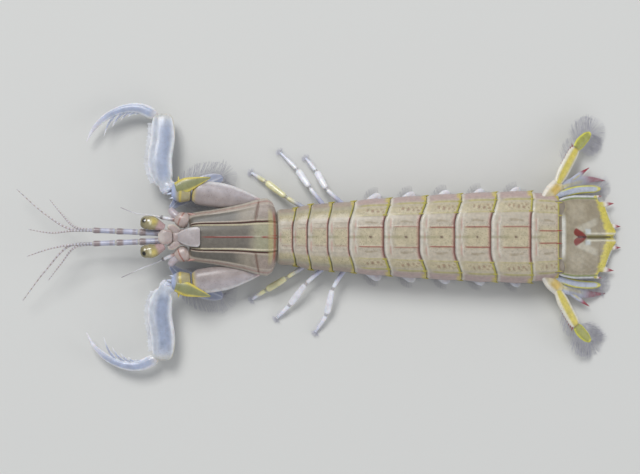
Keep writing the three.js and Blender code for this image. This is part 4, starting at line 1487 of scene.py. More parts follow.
@dataclass
class Claw:
    """One raptorial claw: thigh, wrist, broad palm with its comb, and the toothed finger."""

    side: Side
    merus_path: tuple[Point, ...] = ((9.6, -10.6, 7.4), (11.6, -20, 7.7), (13.2, -30.6, 8.2))
    carpus_path: tuple[Point, ...] = ((12.7, -31.0, 8.6), (13.0, -33.8, 8.7), (13.1, -36.4, 8.5))
    ridge_path: tuple[Point, ...] = ((14.0, -35.2, 10.3), (15.4, -31.0, 10.6), (17.2, -25.2, 9.7))
    propodus_path: tuple[Point, ...] = (
        (13.2, -36.9, 8.2), (16.4, -38.9, 7.8), (22.0, -40.2, 7.0), (29.0, -39.4, 5.9),
        (36.0, -39.6, 5.0),
    )
    propodus_widths: tuple[Point, ...] = (
        (0, 1.7, 1.5), (0.1, 2.5, 1.8), (0.17, 2.2, 1.7), (0.3, 3.1, 1.9), (0.5, 3.6, 2.0),
        (0.8, 3.5, 2.0), (0.95, 2.9, 1.8), (1, 1.9, 1.2),
    )
    dactylus_path: tuple[Point, ...] = (
        (35.3, -41.2, 5.0), (37.5, -46.2, 4.9), (37.4, -50.8, 4.8), (35.2, -56.0, 4.6),
        (31.6, -59.9, 4.3), (27.9, -62.0, 3.9),
    )
    dactylus_widths: tuple[Point, ...] = (
        (0, 1.1, 1.0), (0.08, 1.7, 1.2), (0.25, 1.5, 1.0), (0.6, 1.0, 0.75), (1, 0.1, 0.1),
    )
    teeth: tuple[Point, ...] = ((0.18, 1.6), (0.24, 2.7), (0.31, 3.9), (0.4, 5.4), (0.5, 6.9))
    comb_count: int = 74
    comb_reach: float = 1.3

    def path(self, points: Sequence[Point]) -> Path:
        """A path on this claw's side."""
        return Path(flipped(points, self.side))

    def build(self) -> None:
        """Makes the claw's four joints and the comb."""
        self._merus()
        self._carpus()
        self._propodus()
        self._dactylus()

    def _merus(self) -> None:
        """The pinkish grey thigh with its white outer edge."""
        stations = [(0, 1.2, 1.3), (0.2, 2.3, 2.0), (0.65, 3.7, 2.5), (0.9, 3.6, 2.4), (1, 2.6, 1.9)]
        value = self.side.value

        def paint(skin: Skin) -> Array:
            """Pinkish grey, pale towards the outer edge, yellow at the far end."""
            outer = skin.across * -value
            return coats(
                skin, "a39895",
                ("bab3b6", 0.7 * smooth(-0.3, 0.5, outer)),
                ("e1dfdf", 0.9 * smooth(0.66, 0.9, outer)),
                ("b86a5c", 0.6 * smooth(0.16, 0.0, skin.t)),
                ("c9b868", 0.8 * smooth(0.93, 0.99, skin.t)),
            )

        skin = limb(self.path(self.merus_path), stations, sides=40, steps=50, boxy=0.85)
        piece = Piece(f"claw_merus_{self.side.word}_skin", "merus", MERUS)
        piece.add(skin, paint, 0.35).make()

    def _carpus(self) -> None:
        """The yellow-rimmed wrist with its backward lobe and small teeth."""
        piece = Piece(f"claw_carpus_{self.side.word}_skin", "carpus", MERUS)
        stations = [(0, 2.2, 1.9), (0.5, 3.0, 2.4), (1, 2.1, 1.8)]
        cup = limb(self.path(self.carpus_path), stations, 36, 30, 0.85)

        def cup_paint(skin: Skin) -> Array:
            """Yellow-grey that turns blue towards the palm."""
            return coats(
                skin, "aca27c",
                ("a9b4d0", smooth(0.55, 0.85, skin.t)),
                ("d0bd62", 0.85 * band(skin.t, 0.5, 0.03, 0.05)),
            )

        piece.add(cup, cup_paint, 0.2)
        stations = [(0, 1.7, 0.9), (0.35, 2.1, 0.7), (0.75, 1.1, 0.5), (1, 0.15, 0.15)]
        ridge = limb(self.path(self.ridge_path), stations, 36, 44)

        def ridge_paint(skin: Skin) -> Array:
            """Olive centre inside a bright yellow rim."""
            return coats(skin, "8e9066", ("dccb62", smooth(0.5, 0.85, skin.edge)))

        piece.add(ridge, ridge_paint, 0.4)
        tooth = flipped([(14.8, -34.2, 9.2), (17.6, -34.6, 9.4)], self.side)
        piece.add(thorn(tooth[0], tooth[1], 0.7, sides=12), "d8c866")
        for x, y in ((11.4, -36.6), (12.6, -37.4), (13.9, -37.7)):
            root, tip = flipped([(x, y + 0.8, 9.7), (x - 0.25, y - 0.5, 10.1)], self.side)
            piece.add(thorn(root, tip, 0.35), "d5dcee")
        piece.make()

    def _propodus(self) -> None:
        """The pale blue palm and, on its front edge, the fine comb."""
        path = self.path(self.propodus_path)
        value = self.side.value

        def gutter(t: Array, across: Array, over: Array) -> Array:
            """A shallow channel behind the comb edge.

            Args:
                t: shares of the length.
                across: places over the width.
                over: places from underside to top.

            Returns:
                Height to add, in millimetres.
            """
            front = across * value
            knob = 0.16 * np.sin(7 * across + 90 * t) * np.sin(5 * over + 60 * t) * smooth(0.18, 0.1, t)
            scallop = 0.12 * np.sin(2 * np.pi * 9 * t) * smooth(0.8, 1.0, front) * smooth(0.9, 0.7, t)
            return knob + scallop - 0.14 * bell(front, 0.7, 0.1) * smooth(0.15, 0.3, t)

        def paint(skin: Skin) -> Array:
            """Clear blue with darker core, white edges and a yellow heel.

            Args:
                skin: the surface that is painted.

            Returns:
                One colour for each point.
            """
            front = skin.across * value
            core = band(front, -0.2, 0.3, 0.35) * smooth(0.14, 0.34, skin.t) * smooth(0.98, 0.8, skin.t)
            return coats(
                skin, "c6cbd4",
                ("95a1ba", 0.8 * core),
                ("f0f1f4", 0.85 * smooth(0.7, 0.92, np.abs(front))),
                ("dfe3ee", 0.7 * smooth(0.16, 0.06, skin.t)),
                ("dcd7c4", 0.6 * smooth(0.9, 1.0, skin.t)),
                ("d3c384", 0.5 * smooth(-0.9, -1.0, front) * smooth(0.7, 0.85, skin.t)),
            )

        skin = limb(path, self.propodus_widths, sides=44, steps=84, boxy=0.85, swell=gutter)
        piece = Piece(f"claw_propodus_{self.side.word}_skin", "claw", CLAW)
        piece.add(skin, paint, lambda s: 0.35 * band(s.across * value, -0.1, 0.45, 0.2))
        piece.make()
        t = np.linspace(0.27, 0.9, self.comb_count)
        way = path.way(t)
        out = np.stack([way[:, 1], -way[:, 0], 0 * t], 1) * value
        out /= np.linalg.norm(out, axis=1)[:, None]
        roots = path.at(t) + out * (track(self.propodus_widths, t, 1) - 0.35)[:, None]
        reach = self.comb_reach * np.where(np.arange(self.comb_count) % 6 == 0, 1.25, 1.0)
        comb = Setae().fringe(roots, out + 0.25 * way, reach)
        comb.make(f"claw_comb_{self.side.word}", "claw", "e4e6ea", radius=0.085, bend=0.02)

    def _dactylus(self) -> None:
        """The curved finger with its long inner teeth."""
        path = self.path(self.dactylus_path)
        piece = Piece(f"claw_dactylus_{self.side.word}_skin", "claw", CLAW)

        def paint(skin: Skin) -> Array:
            """White edges round a clear blue middle, with a warm root."""
            return coats(
                skin, "aab3c8",
                ("f0f1f5", 0.9 * smooth(0.45, 0.9, skin.edge)),
                ("e6e4ea", smooth(0.5, 0.95, skin.t)),
                ("d9d4cf", 0.8 * smooth(0.1, 0.0, skin.t)),
            )

        def tooth_paint(skin: Skin) -> Array:
            """Clear blue-grey between pale edges, white towards the tip."""
            return coats(
                skin, "a9b0c2",
                ("eceef3", 0.8 * smooth(0.5, 0.9, skin.edge)),
                ("f0f0f4", smooth(0.55, 0.95, skin.t)),
            )

        piece.add(limb(path, self.dactylus_widths, sides=28, steps=80), paint)
        for place, length in self.teeth:
            way = path.way(np.array([place]))[0]
            inward = np.array([way[1], -way[0], 0]) * self.side.value
            inward /= np.linalg.norm(inward)
            root = path.at(np.array([place]))[0] + inward * (track(self.dactylus_widths, place, 1) - 0.55)
            bend = root + length * (0.48 * way + 0.28 * inward)
            tip = root + length * (0.86 * way + 0.68 * inward)
            stations = [(0, 0.5, 0.46), (0.5, 0.33, 0.31), (1, 0.05, 0.05)]
            piece.add(limb(Path([root, bend, tip]), stations, sides=16, steps=26), tooth_paint)
        piece.make()


# Legs and mouth parts


@dataclass
class WalkingLegs:
    """Three pairs of slim walking legs with bristly tips."""

    paths: tuple[tuple[Side, tuple[tuple[Point, ...], ...]], ...] = (
        (Side.LEFT, (
            ((8.0, 2.6, 5.4), (11.8, -3.2, 4.6), (15.6, -9.4, 2.6), (18.2, -13.4, 0.75)),
            ((8.3, 8.2, 5.4), (13.6, 2.4, 4.8), (20.0, -2.6, 2.4), (23.8, -6.2, 0.75)),
            ((8.6, 14.2, 5.4), (15.0, 10.2, 4.8), (22.8, 8.2, 2.4), (27.8, 5.2, 0.75)),
        )),
        (Side.RIGHT, (
            ((8.0, 2.6, 5.4), (11.6, -3.4, 4.6), (16.2, -9.6, 2.6), (18.8, -13.6, 0.75)),
            ((8.3, 8.2, 5.4), (14.4, 3.4, 4.8), (19.8, -0.4, 2.4), (24.8, -5.2, 0.75)),
            ((8.6, 14.2, 5.4), (14.0, 8.4, 4.8), (19.4, 5.2, 2.4), (23.0, 2.4, 0.75)),
        )),
    )
    widths: tuple[Point, ...] = (
        (0, 0.75, 0.75), (0.3, 0.6, 0.6), (0.335, 0.45, 0.45), (0.38, 0.85, 0.6), (0.62, 1.0, 0.55),
        (0.67, 0.5, 0.45), (0.72, 0.62, 0.45), (0.97, 0.4, 0.4), (1, 0.3, 0.3),
    )
    foot_setae: int = 34

    def build(self) -> None:
        """Makes all six legs."""
        for side, legs in self.paths:
            for number, points in enumerate(legs, start=1):
                self._leg(side, number, points)

    def _leg(self, side: Side, number: int, points: Sequence[Point]) -> None:
        """One leg, its foot flat on the floor.

        Args:
            side: which side of the body.
            number: which leg, from the front.
            points: the middle line.
        """
        path = Path(flipped(points, side))
        tint = "e0dcb0" if number == 1 else "e9e9ee"

        def paint(skin: Skin) -> Array:
            """White, bluish near the body, grey at the joints."""
            return coats(
                skin, tint,
                ("a7abc6", 0.8 * smooth(0.3, 0.12, skin.t)),
                ("8a8788", 0.7 * (band(skin.t, 0.335, 0.01, 0.02) + band(skin.t, 0.67, 0.01, 0.02))),
                ("d9dbe8", smooth(0.75, 0.95, skin.t)),
            )

        skin = limb(path, self.widths, sides=16, steps=72)
        foot = path.knots[-2]
        pad = limb(
            Path([(foot[0], foot[1], z) for z in (LOWEST, 0.5, 0.95)]),
            [(0, 0.5, 0.5), (0.5, 0.48, 0.48), (1, 0.3, 0.3)],
            sides=16,
            steps=8,
            up=(0, 1, 0),
            round_ends=False,
        )
        piece = Piece(f"walking_leg_{number}_{side.word}_skin", "leg", LEG)
        piece.add(skin, paint).add(pad, "e3e4ea").make()
        setae = Setae()
        way = path.way(np.array([1.0]))[0]
        turn = np.linspace(-1.3, 1.3, self.foot_setae)[:, None]
        out = np.cross(way, (0, 0, 1))
        lift = 0.35 * np.sin(np.arange(self.foot_setae) * 1.9)[:, None] + 0.35
        aims = way * np.cos(turn) + out * np.sin(turn) + np.array([0, 0, 1.0]) * lift
        setae.fringe(foot + aims * 0.2, aims, 1.3)
        for edge in (-1, 1):
            fringe_round(setae, path, self.widths, edge, 0.72, 0.98, 18, 1.0)
        setae.make(f"walking_leg_setae_{number}_{side.word}", "leg", "c9c9d4", radius=0.02)


@dataclass
class MouthParts:
    """The mouth field with its small folded claws, hidden below the carapace."""

    spacing: float = 6.2

    def build(self) -> None:
        """Makes the mouth field and three pairs of small claws."""
        path = Path([(0, -29.6, 7.0), (0, -22, 5.0), (0, -7.6, 4.4)])
        stations = [(0, 1.8, 1.0), (0.2, 3.2, 1.6), (0.7, 4.0, 1.7), (1, 3.4, 1.4)]

        def folds(t: Array, across: Array, over: Array) -> Array:
            """Cross folds of the sternites and the lips at the front."""
            waves = 0.12 * np.sin(2 * np.pi * 6.5 * t) * (over < 0)
            return waves + 0.25 * bell(t, 0.12, 0.05)

        def paint(skin: Skin) -> Array:
            """Pale with rosy lips."""
            return coats(skin, "c5bdb0", ("b08a80", 0.8 * band(skin.t, 0.12, 0.05, 0.05)))

        skin = limb(path, stations, sides=40, steps=60, boxy=0.8, swell=folds)
        Piece("mouth_underside_skin", "underside", SOFT).add(skin, paint, 0.1).make()
        for side in Side:
            for index in range(3):
                self._maxilliped(side, index)

    def _maxilliped(self, side: Side, index: int) -> None:
        """One small claw: slim arm and a round hand.

        Args:
            side: which side of the body.
            index: its place, counted from the rear.
        """
        rear = -9.4 - self.spacing * index
        points = [
            (2.6, rear, 3.0),
            (6.2, rear - 0.6, 2.2),
            (7.4, rear - 2.6, 1.7),
            (5.2, rear - 3.8, 1.7),
            (3.0, rear - 4.2, 2.0),
        ]
        stations = [(0, 0.8, 0.75), (0.25, 0.62, 0.66), (0.48, 0.42, 0.5), (0.55, 0.6, 0.6)]
        stations += [(0.8, 0.98, 0.7), (0.95, 0.6, 0.5), (1, 0.3, 0.3)]

        def paint(skin: Skin) -> Array:
            """Bluish white with a rosy hand."""
            return coats(skin, "cfced6", ("bfa39c", 0.6 * smooth(0.6, 0.8, skin.t)))

        path = Path(flipped(points, side))
        skin = limb(path, stations, sides=20, steps=56)
        name = f"maxilliped_{5 - index}_{side.word}"
        Piece(f"{name}_skin", "underside", SOFT).add(skin, paint).make()
        setae = Setae()
        fringe_round(setae, path, stations, 1, 0.6, 0.95, 20, 1.2)
        setae.make(f"{name}_setae", "underside", "b9a88f", radius=0.02)


@dataclass
class SwimmingLegs:
    """Five pairs of swimming legs laid back on the floor, with gills between their leaves."""

    trunk: Trunk
    drop: float = 0.35

    def build(self) -> None:
        """Makes all ten legs."""
        for side in Side:
            for index in range(5):
                self._leg(side, index)

    def _leg(self, side: Side, index: int) -> None:
        """One leg: stalk, outer and inner leaf, gill filaments and a fringe.

        Args:
            side: which side of the body.
            index: which pair, from the front.
        """
        number = self.trunk.thorax_count + index
        front, rear = self.trunk.front(number), self.trunk.rear(number)
        y = front + 0.3 * (rear - front)
        reach = 6.6 + 0.5 * index
        low = self.drop
        piece = Piece(f"pleopod_{index + 1}_{side.word}_skin", "underside", SOFT)
        points = [(5.2, y, 6.2 - low), (6.0, y + 0.8, 3.8 - low), (6.6, y + 1.8, 2.2 - low)]
        stalk = Path(flipped(points, side))
        piece.add(limb(stalk, [(0, 1.6, 0.9), (1, 1.4, 0.9)], 24, 14, up=(0, 1, 0)), "cfc9c0")
        setae = Setae()
        leaves = (
            ((7.0, y + 1.2, 2.2 - low), (reach + 6.0, y + 6.4, 0.9 - low), 2.0),
            ((5.8, y + 1.4, 2.2 - low), (4.6, y + 7.6, 0.8 - low), 1.7),
        )
        for start, end, width in leaves:
            middle = tuple((a + b) / 2 for a, b in zip(start, end))
            path = Path(flipped([start, middle, end], side))
            stations = [(0, width * 0.5, 0.45), (0.5, width, 0.42)]
            stations += [(0.85, width * 0.75, 0.36), (1, width * 0.3, 0.3)]

            def paint(skin: Skin) -> Array:
                """White with a faint rosy middle."""
                return coats(
                    skin, "dedde2",
                    ("c4aeb0", 0.6 * band(skin.across, 0, 0.15, 0.3) * smooth(1, 0.7, skin.t)),
                )

            skin = limb(path, stations, sides=24, steps=30)
            skin.points[..., 2] = np.maximum(skin.points[..., 2], 0.03)
            piece.add(skin, paint)
            for edge in (-1, 1):
                fringe_round(setae, path, stations, edge, 0.35, 0.98, 34, 2.2)
        for k in range(9):
            turn = 0.55 * k
            base = (4.6 + 0.12 * k, y + 1.6 + 0.35 * k, 3.0 - low)
            tip = (3.2 + 0.9 * math.sin(turn), y + 3.2 + 0.5 * k, 1.5 + 0.5 * math.cos(turn) - low)
            root, end = flipped([base, tip], side)
            piece.add(thorn(root, end, 0.2, bend=(0, 0, 0.3), sides=6), "c98f86")
        piece.make()
        setae.make(f"pleopod_setae_{index + 1}_{side.word}", "underside", "bcbac0", radius=0.011)


# Tail fan


@dataclass
class TailFan:
    """The telson and the tail legs, drawn flat behind the hinge and tilted down about it."""

    trunk: Trunk
    plan: tuple[Point, ...] = (
        (0, 0.9, 1.9), (0.12, 0.96, 2.1), (0.32, 1.0, 1.9), (0.58, 1.0, 1.5), (0.69, 0.985, 1.3),
        (0.725, 0.87, 1.2), (0.83, 0.79, 1.05), (0.87, 0.64, 1.0), (0.95, 0.36, 0.75),
        (1, 0.26, 0.6),
    )
    teeth: tuple[tuple[Point, Point, float], ...] = (
        ((11.3, 12.0), (12.0, 15.0), 0.6), ((8.8, 13.4), (9.9, 19.3), 1.25),
        ((2.7, 16.8), (3.1, 21.7), 1.1),
    )
    notch: float = 1.7  # depth of the cleft between the two middle teeth

    def tilt(self, points: Array) -> Array:
        """Turns flat-drawn points down about the hinge behind the last segment.

        Args:
            points: flat-drawn points.

        Returns:
            The tilted points.
        """
        hinge_y = self.trunk.rear(len(self.trunk.somites) - 1) + GAP
        c, s = math.cos(TELSON_TILT), math.sin(TELSON_TILT)
        x, y, z = points[..., 0], points[..., 1], points[..., 2]
        return np.stack([x, hinge_y + y * c + z * s, TELSON_HINGE_Z - y * s + z * c], -1)

    def build(self) -> None:
        """Makes the telson and both tail legs."""
        self._telson()
        for side in Side:
            self._base(side)
            self._exopod(side)
            self._endopod(side)

    def _telson(self) -> None:
        """The broad plate with its median keel, marginal teeth and denticles."""
        piece = Piece("telson_skin", "fan", FAN)
        v = np.concatenate([[0, 0.004], np.linspace(0.012, 0.988, 110), [0.996, 1.0]])
        share = np.concatenate([np.linspace(0, 0.14, 16), np.linspace(0.16, 0.94, 44), [0.97, 0.99, 1.0]])
        half = track(self.plan, v, 1)[:, None] * TELSON_HALF_WIDTH
        crown = track(self.plan, v, 2)[:, None]
        power = 2 + 1.2 * smooth(0.4, 0.0, v)[:, None]
        arch = crown * (1 - share[None] ** power) + 0.35
        x_mm = share[None] * half
        keel = 0.6 * bell(x_mm, 0, 0.4) * smooth(0.4, 0.5, v)[:, None]
        boss = 0.4 * bell(x_mm, 0, 1.7) * band(v, 0.27, 0.08, 0.12)[:, None]
        side_keel = 0.22 * bell(share[None], 0.93, 0.025) * smooth(0.72, 0.66, v)[:, None]
        rows = np.sin(41 * v[:, None] + 1.7 * np.sin(1.3 * x_mm))
        pits = 0.025 * np.sin(2.9 * x_mm) * rows * smooth(2.5, 5, x_mm)
        top = arch + keel + boss + side_keel + pits * smooth(0.05, 0.2, v)[:, None]
        low_share = np.concatenate([[0.99, 0.96], np.linspace(0.9, 0, 24)])
        low = -0.45 + 0.35 * crown * (1 - low_share[None] ** 2)
        x = np.concatenate([x_mm, low_share[None] * half], 1)
        z = np.concatenate([top, low], 1)
        ends = np.where(v < 0.002, 0.5, np.where(v > 0.998, 0.6, 1.0))[:, None]
        z = z.mean(1, keepdims=True) + (z - z.mean(1, keepdims=True)) * ends
        cleft = self.notch * smooth(1.0, 0.2, x) * smooth(0.8, 1.0, v)[:, None]
        lobes = 0.55 * band(x, 1.5, 0.2, 1.0) * smooth(0.9, 1.0, v)[:, None]
        y = (v * TELSON_LENGTH)[:, None] - cleft + lobes
        across = np.concatenate([share, low_share])[None] + 0 * v[:, None]
        over = np.concatenate([np.ones(len(share)), -np.ones(len(low_share))])[None] + 0 * v[:, None]
        flat = mirrored(np.stack([x, y, z], -1), v[:, None] + 0 * across, across, over)
        piece.add(flat.mapped(self.tilt), self._telson_paint(flat), self._telson_specks)
        hinge = [(0, -2.6, -0.6), (0, -0.4, 0.2), (0, 2.0, 0.5)]
        stations = [(0, 10.4, 1.9), (0.6, 10.6, 1.7), (1, 10.2, 1.2)]
        joint = limb(Path(hinge), stations, sides=60, steps=10, boxy=0.5)
        piece.add(joint.mapped(self.tilt), "8e8272")
        for side in Side:
            self._telson_edge(piece, side)
        piece.make()

    @staticmethod
    def _telson_paint(flat: Skin) -> Array:
        """Grey-brown, cream front edge, red heart, green keel and yellow rear, from the flat-drawn plate.

        Args:
            flat: the plate before it is tilted.

        Returns:
            One colour for each point.
        """
        x, y = np.abs(flat.points[..., 0]), flat.points[..., 1]
        u = np.abs(flat.across)
        streak = band(x, 1.9 + 0.36 * (y - 5), 0.5, 1.0) * smooth(3.5, 5.5, y) * smooth(13.5, 11.0, y)
        wave = 0.22 * np.sin(2.3 * x + 1.3) + 0.16 * np.sin(5.9 * x) + 0.12 * np.sin(11.3 * x + 2)
        rear = smooth(-0.7, 0.7, y - (15.9 - 0.3 * np.minimum(x, 10.5)) + wave)
        heart_half = 2.5 * np.clip((8.3 - y) / 3.4, 0, 1) ** 0.7
        lobes = 3.7 + 0.55 * bell(x, 0, 0.45) + 0.75 * ((x - 1.25) / 1.2) ** 2
        heart = smooth(0.3, -0.2, x - heart_half) * smooth(-0.15, 0.2, y - lobes)
        blue = band(x, 1.6, 0.3, 0.8) * band(y, 9.0, 0.5, 1.0) * (1 - heart)
        return coats(
            flat, "9c917a",
            ("b8ae98", 0.6 * band(x, 7.5, 1.6, 2.0) * band(y, 5.5, 1.5, 2.5)),
            ("c3bdab", 0.75 * streak),
            ("dedcd2", 0.9 * smooth(1.6, 0.6, y) * smooth(7.5, 4.5, x)),
            ("cbb968", 0.7 * smooth(2.0, 0.7, y) * smooth(7.0, 9.0, x)),
            ("d6c858", 0.95 * rear),
            ("d9d4bf", 0.8 * band(x, 1.0, 0.1, 0.35) * smooth(8.2, 9.0, y)),
            ("6d7a3c", 0.95 * band(x, 0, 0.28, 0.2) * smooth(8.2, 8.8, y) * smooth(17.4, 16.8, y)),
            ("7f1e14", 0.95 * heart),
            ("3f0b0a", 0.9 * heart * band(x, 0, 0.12, 0.4)),
            ("d5dfe2", 0.6 * blue),
            ("7e8a4a", 0.8 * band(u, 0.93, 0.01, 0.014) * smooth(13.6, 12.8, y)),
            ("d9dce0", 0.8 * smooth(0.945, 0.965, u) * smooth(13.8, 13.0, y)),
            ("eceae2", 0.7 * smooth(0.93, 0.98, u) * smooth(14.5, 15.5, y)),
        )

    @staticmethod
    def _telson_specks(skin: Skin) -> Array:
        """Specks crowd in the yellow rear band."""
        rear = smooth(0.68, 0.76, skin.t)
        return (0.3 + 0.6 * rear) * (skin.over > 0) * smooth(0.98, 0.92, skin.t)

    def _telson_edge(self, piece: Piece, side: Side) -> None:
        """Adds one side's red-tipped teeth and rounded white denticles.

        Args:
            piece: what the spines join.
            side: which side of the body.
        """

        def tooth_paint(skin: Skin) -> Array:
            """Yellow root, pale edges, red tip."""
            return coats(
                skin, "d0c262",
                ("e2dcd6", smooth(0.25, 0.5, skin.t)),
                ("a0454e", smooth(0.45, 0.75, skin.t) * (1 - 0.5 * smooth(0.6, 1, skin.edge))),
            )

        for (x0, y0), (x1, y1), radius in self.teeth:
            middle = ((x0 + x1) / 2 + 0.2, (y0 + y1) / 2, 0.15)
            points = flipped([(x0, y0, 0.2), middle, (x1, y1, 0.1)], side)
            stations = [(0, radius, 0.42), (0.35, radius * 0.8, 0.42)]
            stations += [(0.7, radius * 0.42, 0.34), (1, 0.05, 0.05)]
            piece.add(limb(Path(points), stations, sides=20, steps=30).mapped(self.tilt), tooth_paint)
        for i in range(3):
            y = 11.9 + 0.55 * i
            root, tip = flipped([(11.4, y, 0.1), (12.35 - 0.1 * i, y + 0.75, 0.1)], side)
            piece.add(thorn(root, tip, 0.26).mapped(self.tilt), "dcdcd0")
        margin = np.linspace(0.872, 0.962, 9)
        half = track(self.plan, margin, 1) * TELSON_HALF_WIDTH
        places = list(zip(half, margin * TELSON_LENGTH))
        places += [(x, TELSON_LENGTH + 0.1) for x in (2.0, 1.55, 1.1, 0.65)]
        for x, y in places:
            root, tip = flipped([(x * 0.93, y - 1.0, 0.12), (x * 1.01 + 0.05, y + 0.62, 0.1)], side)
            piece.add(thorn(root, tip, 0.34, sides=10).mapped(self.tilt), "ebebe6")

    def _flat(
        self, points: Sequence[Point], stations: Sequence[Point], side: Side,
        sides: int = 28, steps: int = 40,
    ) -> Skin:
        """A limb of the fan, from its flat-drawn path."""
        return limb(Path(flipped(points, side)), stations, sides=sides, steps=steps).mapped(self.tilt)

    def _base(self, side: Side) -> None:
        """The base of a tail leg with its forked, saw-edged prong.

        Args:
            side: which side of the body.
        """
        piece = Piece(f"uropod_base_{side.word}_skin", "fan", FAN)
        block = self._flat(
            [(10.6, -3.6, -1.9), (13.2, -0.6, -2.2), (15.6, 2.2, -2.2)],
            [(0, 1.4, 1.1), (0.5, 2.3, 1.3), (1, 2.1, 1.0)],
            side,
            36,
        )

        def block_paint(skin: Skin) -> Array:
            """Yellow patches on pale ground, with a white outer edge."""
            outer = skin.across * side.value
            return coats(
                skin, "cfc29a",
                ("d0b04e", 0.85 * band(skin.t, 0.62, 0.12, 0.2) * smooth(0.8, 0.2, np.abs(outer))),
                ("a3978c", 0.6 * smooth(0.35, 0.1, skin.t)),
                ("ebe6dc", 0.85 * smooth(0.45, 0.85, outer)),
            )

        piece.add(block, block_paint, 0.3)

        def prong_paint(skin: Skin) -> Array:
            """Bluish white, a yellow streak, then a red point."""
            return coats(
                skin, "b9bccb",
                ("cfc376", 0.7 * band(skin.across, 0, 0.15, 0.3) * smooth(0.6, 0.4, skin.t)),
                ("9c3c48", smooth(0.5, 0.75, skin.t)),
            )

        inner = [(14.2, 0.8, -2.3), (15.6, 7.0, -2.5), (16.8, 12.4, -2.6), (16.7, 18.0, -2.6)]
        stations = [(0, 1.7, 0.55), (0.4, 1.7, 0.5), (0.65, 1.1, 0.45), (1, 0.1, 0.1)]
        piece.add(self._flat(inner, stations, side), prong_paint)
        outer = [(15.8, 5.6, -2.5), (18.2, 9.0, -2.6), (20.4, 12.6, -2.7)]
        stations = [(0, 1.0, 0.45), (0.5, 0.7, 0.4), (1, 0.08, 0.08)]
        piece.add(self._flat(outer, stations, side, 20, 30), prong_paint)
        for i in range(11):
            y = 2.6 + 0.66 * i
            x = 13.25 + 0.14 * y + (0.25 if y > 6.5 else 0)
            root, tip = flipped([(x + 0.4, y, -2.5), (x - 0.75, y + 0.45, -2.5)], side)
            piece.add(thorn(root, tip, 0.22).mapped(self.tilt), "dfe1e8")
        floor_shape(piece.make())

    def _exopod(self, side: Side) -> None:
        """The outer blade: two yellow joints, spines on the outer edge and a wide fringe.

        Args:
            side: which side of the body.
        """
        piece = Piece(f"uropod_exopod_{side.word}_skin", "fan", FAN)
        near = [(15.4, 0.9, -1.9), (21.4, 4.4, -1.7), (26.0, 7.4, -1.7)]
        near_widths = [(0, 1.2, 0.8), (0.3, 1.9, 0.8), (0.8, 1.8, 0.7), (1, 1.3, 0.5)]
        far = [(25.6, 7.0, -1.7), (28.2, 9.6, -1.9), (30.6, 12.6, -2.1)]
        far_widths = [(0, 1.0, 0.45), (0.35, 1.65, 0.45), (0.75, 1.4, 0.38), (1, 0.55, 0.25)]

        def near_paint(skin: Skin) -> Array:
            """Yellow with a white outer edge and a brown joint."""
            outer = skin.across * side.value
            return coats(
                skin, "d3c35c",
                ("e6e3dc", 0.85 * smooth(0.35, 0.8, np.abs(outer))),
                ("6e4a3a", 0.7 * smooth(0.93, 1.0, skin.t)),
            )

        def far_paint(skin: Skin) -> Array:
            """Olive centre inside a bright yellow-green rim."""
            edge = np.maximum(smooth(0.6, 0.9, skin.edge), smooth(0.86, 0.97, skin.t))
            return coats(skin, "a3a456", ("d8d65a", edge), ("5a4436", 0.8 * smooth(0.1, 0.02, skin.t)))

        piece.add(self._flat(near, near_widths, side, 32), near_paint, 0.5)
        piece.add(self._flat(far, far_widths, side, 32), far_paint, 0.8)
        for i in range(8):
            t = 0.28 + 0.095 * i
            x, y = 17.4 + (26.0 - 17.4) * t + 1.0, 1.9 + (7.4 - 1.9) * t - 1.5
            root, tip = flipped([(x - 0.3, y + 0.5, -1.7), (x + 0.95, y + 0.15, -1.7)], side)
            piece.add(thorn(root, tip, 0.24).mapped(self.tilt), "9d4a48")
        piece.make()
        setae = Setae()
        self._fringe(setae, far, far_widths, side, 0.15, 1.0, 104, 5.2)
        self._fringe(setae, near, near_widths, side, 0.45, 1.0, 70, 3.6, edges=(1,))
        setae.make(f"uropod_exopod_setae_{side.word}", "fan", "b9b8c0", radius=0.0062)

    def _fringe(
        self,
        setae: Setae,
        points: Sequence[Point],
        stations: Sequence[Point],
        side: Side,
        start: float,
        end: float,
        count: int,
        reach: float,
        edges: Sequence[int] = (-1, 1),
    ) -> None:
        """Grows a fringe on a flat-drawn blade, then tilts it with the fan.

        Args:
            setae: what the bristles join.
            points: the middle line.
            stations: its sizes along the way.
            side: which side of the body.
            start: first place along the blade.
            end: last place.
            count: how many bristles.
            reach: their length in millimetres.
            edges: 1 and -1 for its two edges.
        """
        flat = Setae()
        path = Path(flipped(points, side))
        for edge in edges:
            fringe_round(flat, path, stations, edge * side.value, start, end, count, reach)
        if len(edges) == 2:
            fringe_tip(flat, path, stations, count // 2, reach)
        for roots, aims, lengths in zip(flat.roots, flat.aims, flat.reach):
            start_points = self.tilt(roots)
            setae.fringe(start_points, self.tilt(roots + aims) - start_points, lengths)

    def _endopod(self, side: Side) -> None:
        """The slim inner blade, yellow-rimmed round a clear blue middle.

        Args:
            side: which side of the body.
        """
        points = [(11.2, -1.4, -1.4), (13.6, 7.0, -1.55), (14.2, 15.8, -1.6)]
        stations = [(0, 0.6, 0.4), (0.4, 1.2, 0.4), (0.85, 1.1, 0.35), (1, 0.4, 0.25)]

        def paint(skin: Skin) -> Array:
            """Clear blue middle, yellow rim, thicker to the tip."""
            rim = np.maximum(smooth(0.5, 0.8, skin.edge), smooth(0.88, 0.96, skin.t))
            return coats(skin, "b6bccb", ("d3cf62", rim * smooth(0.15, 0.35, skin.t)))

        piece = Piece(f"uropod_endopod_{side.word}_skin", "fan", FAN)
        piece.add(self._flat(points, stations, side), paint, 0.5).make()
        setae = Setae()
        self._fringe(setae, points, stations, side, 0.35, 1.0, 84, 3.8)
        setae.make(f"uropod_endopod_setae_{side.word}", "fan", "b9b8c0", radius=0.0075)


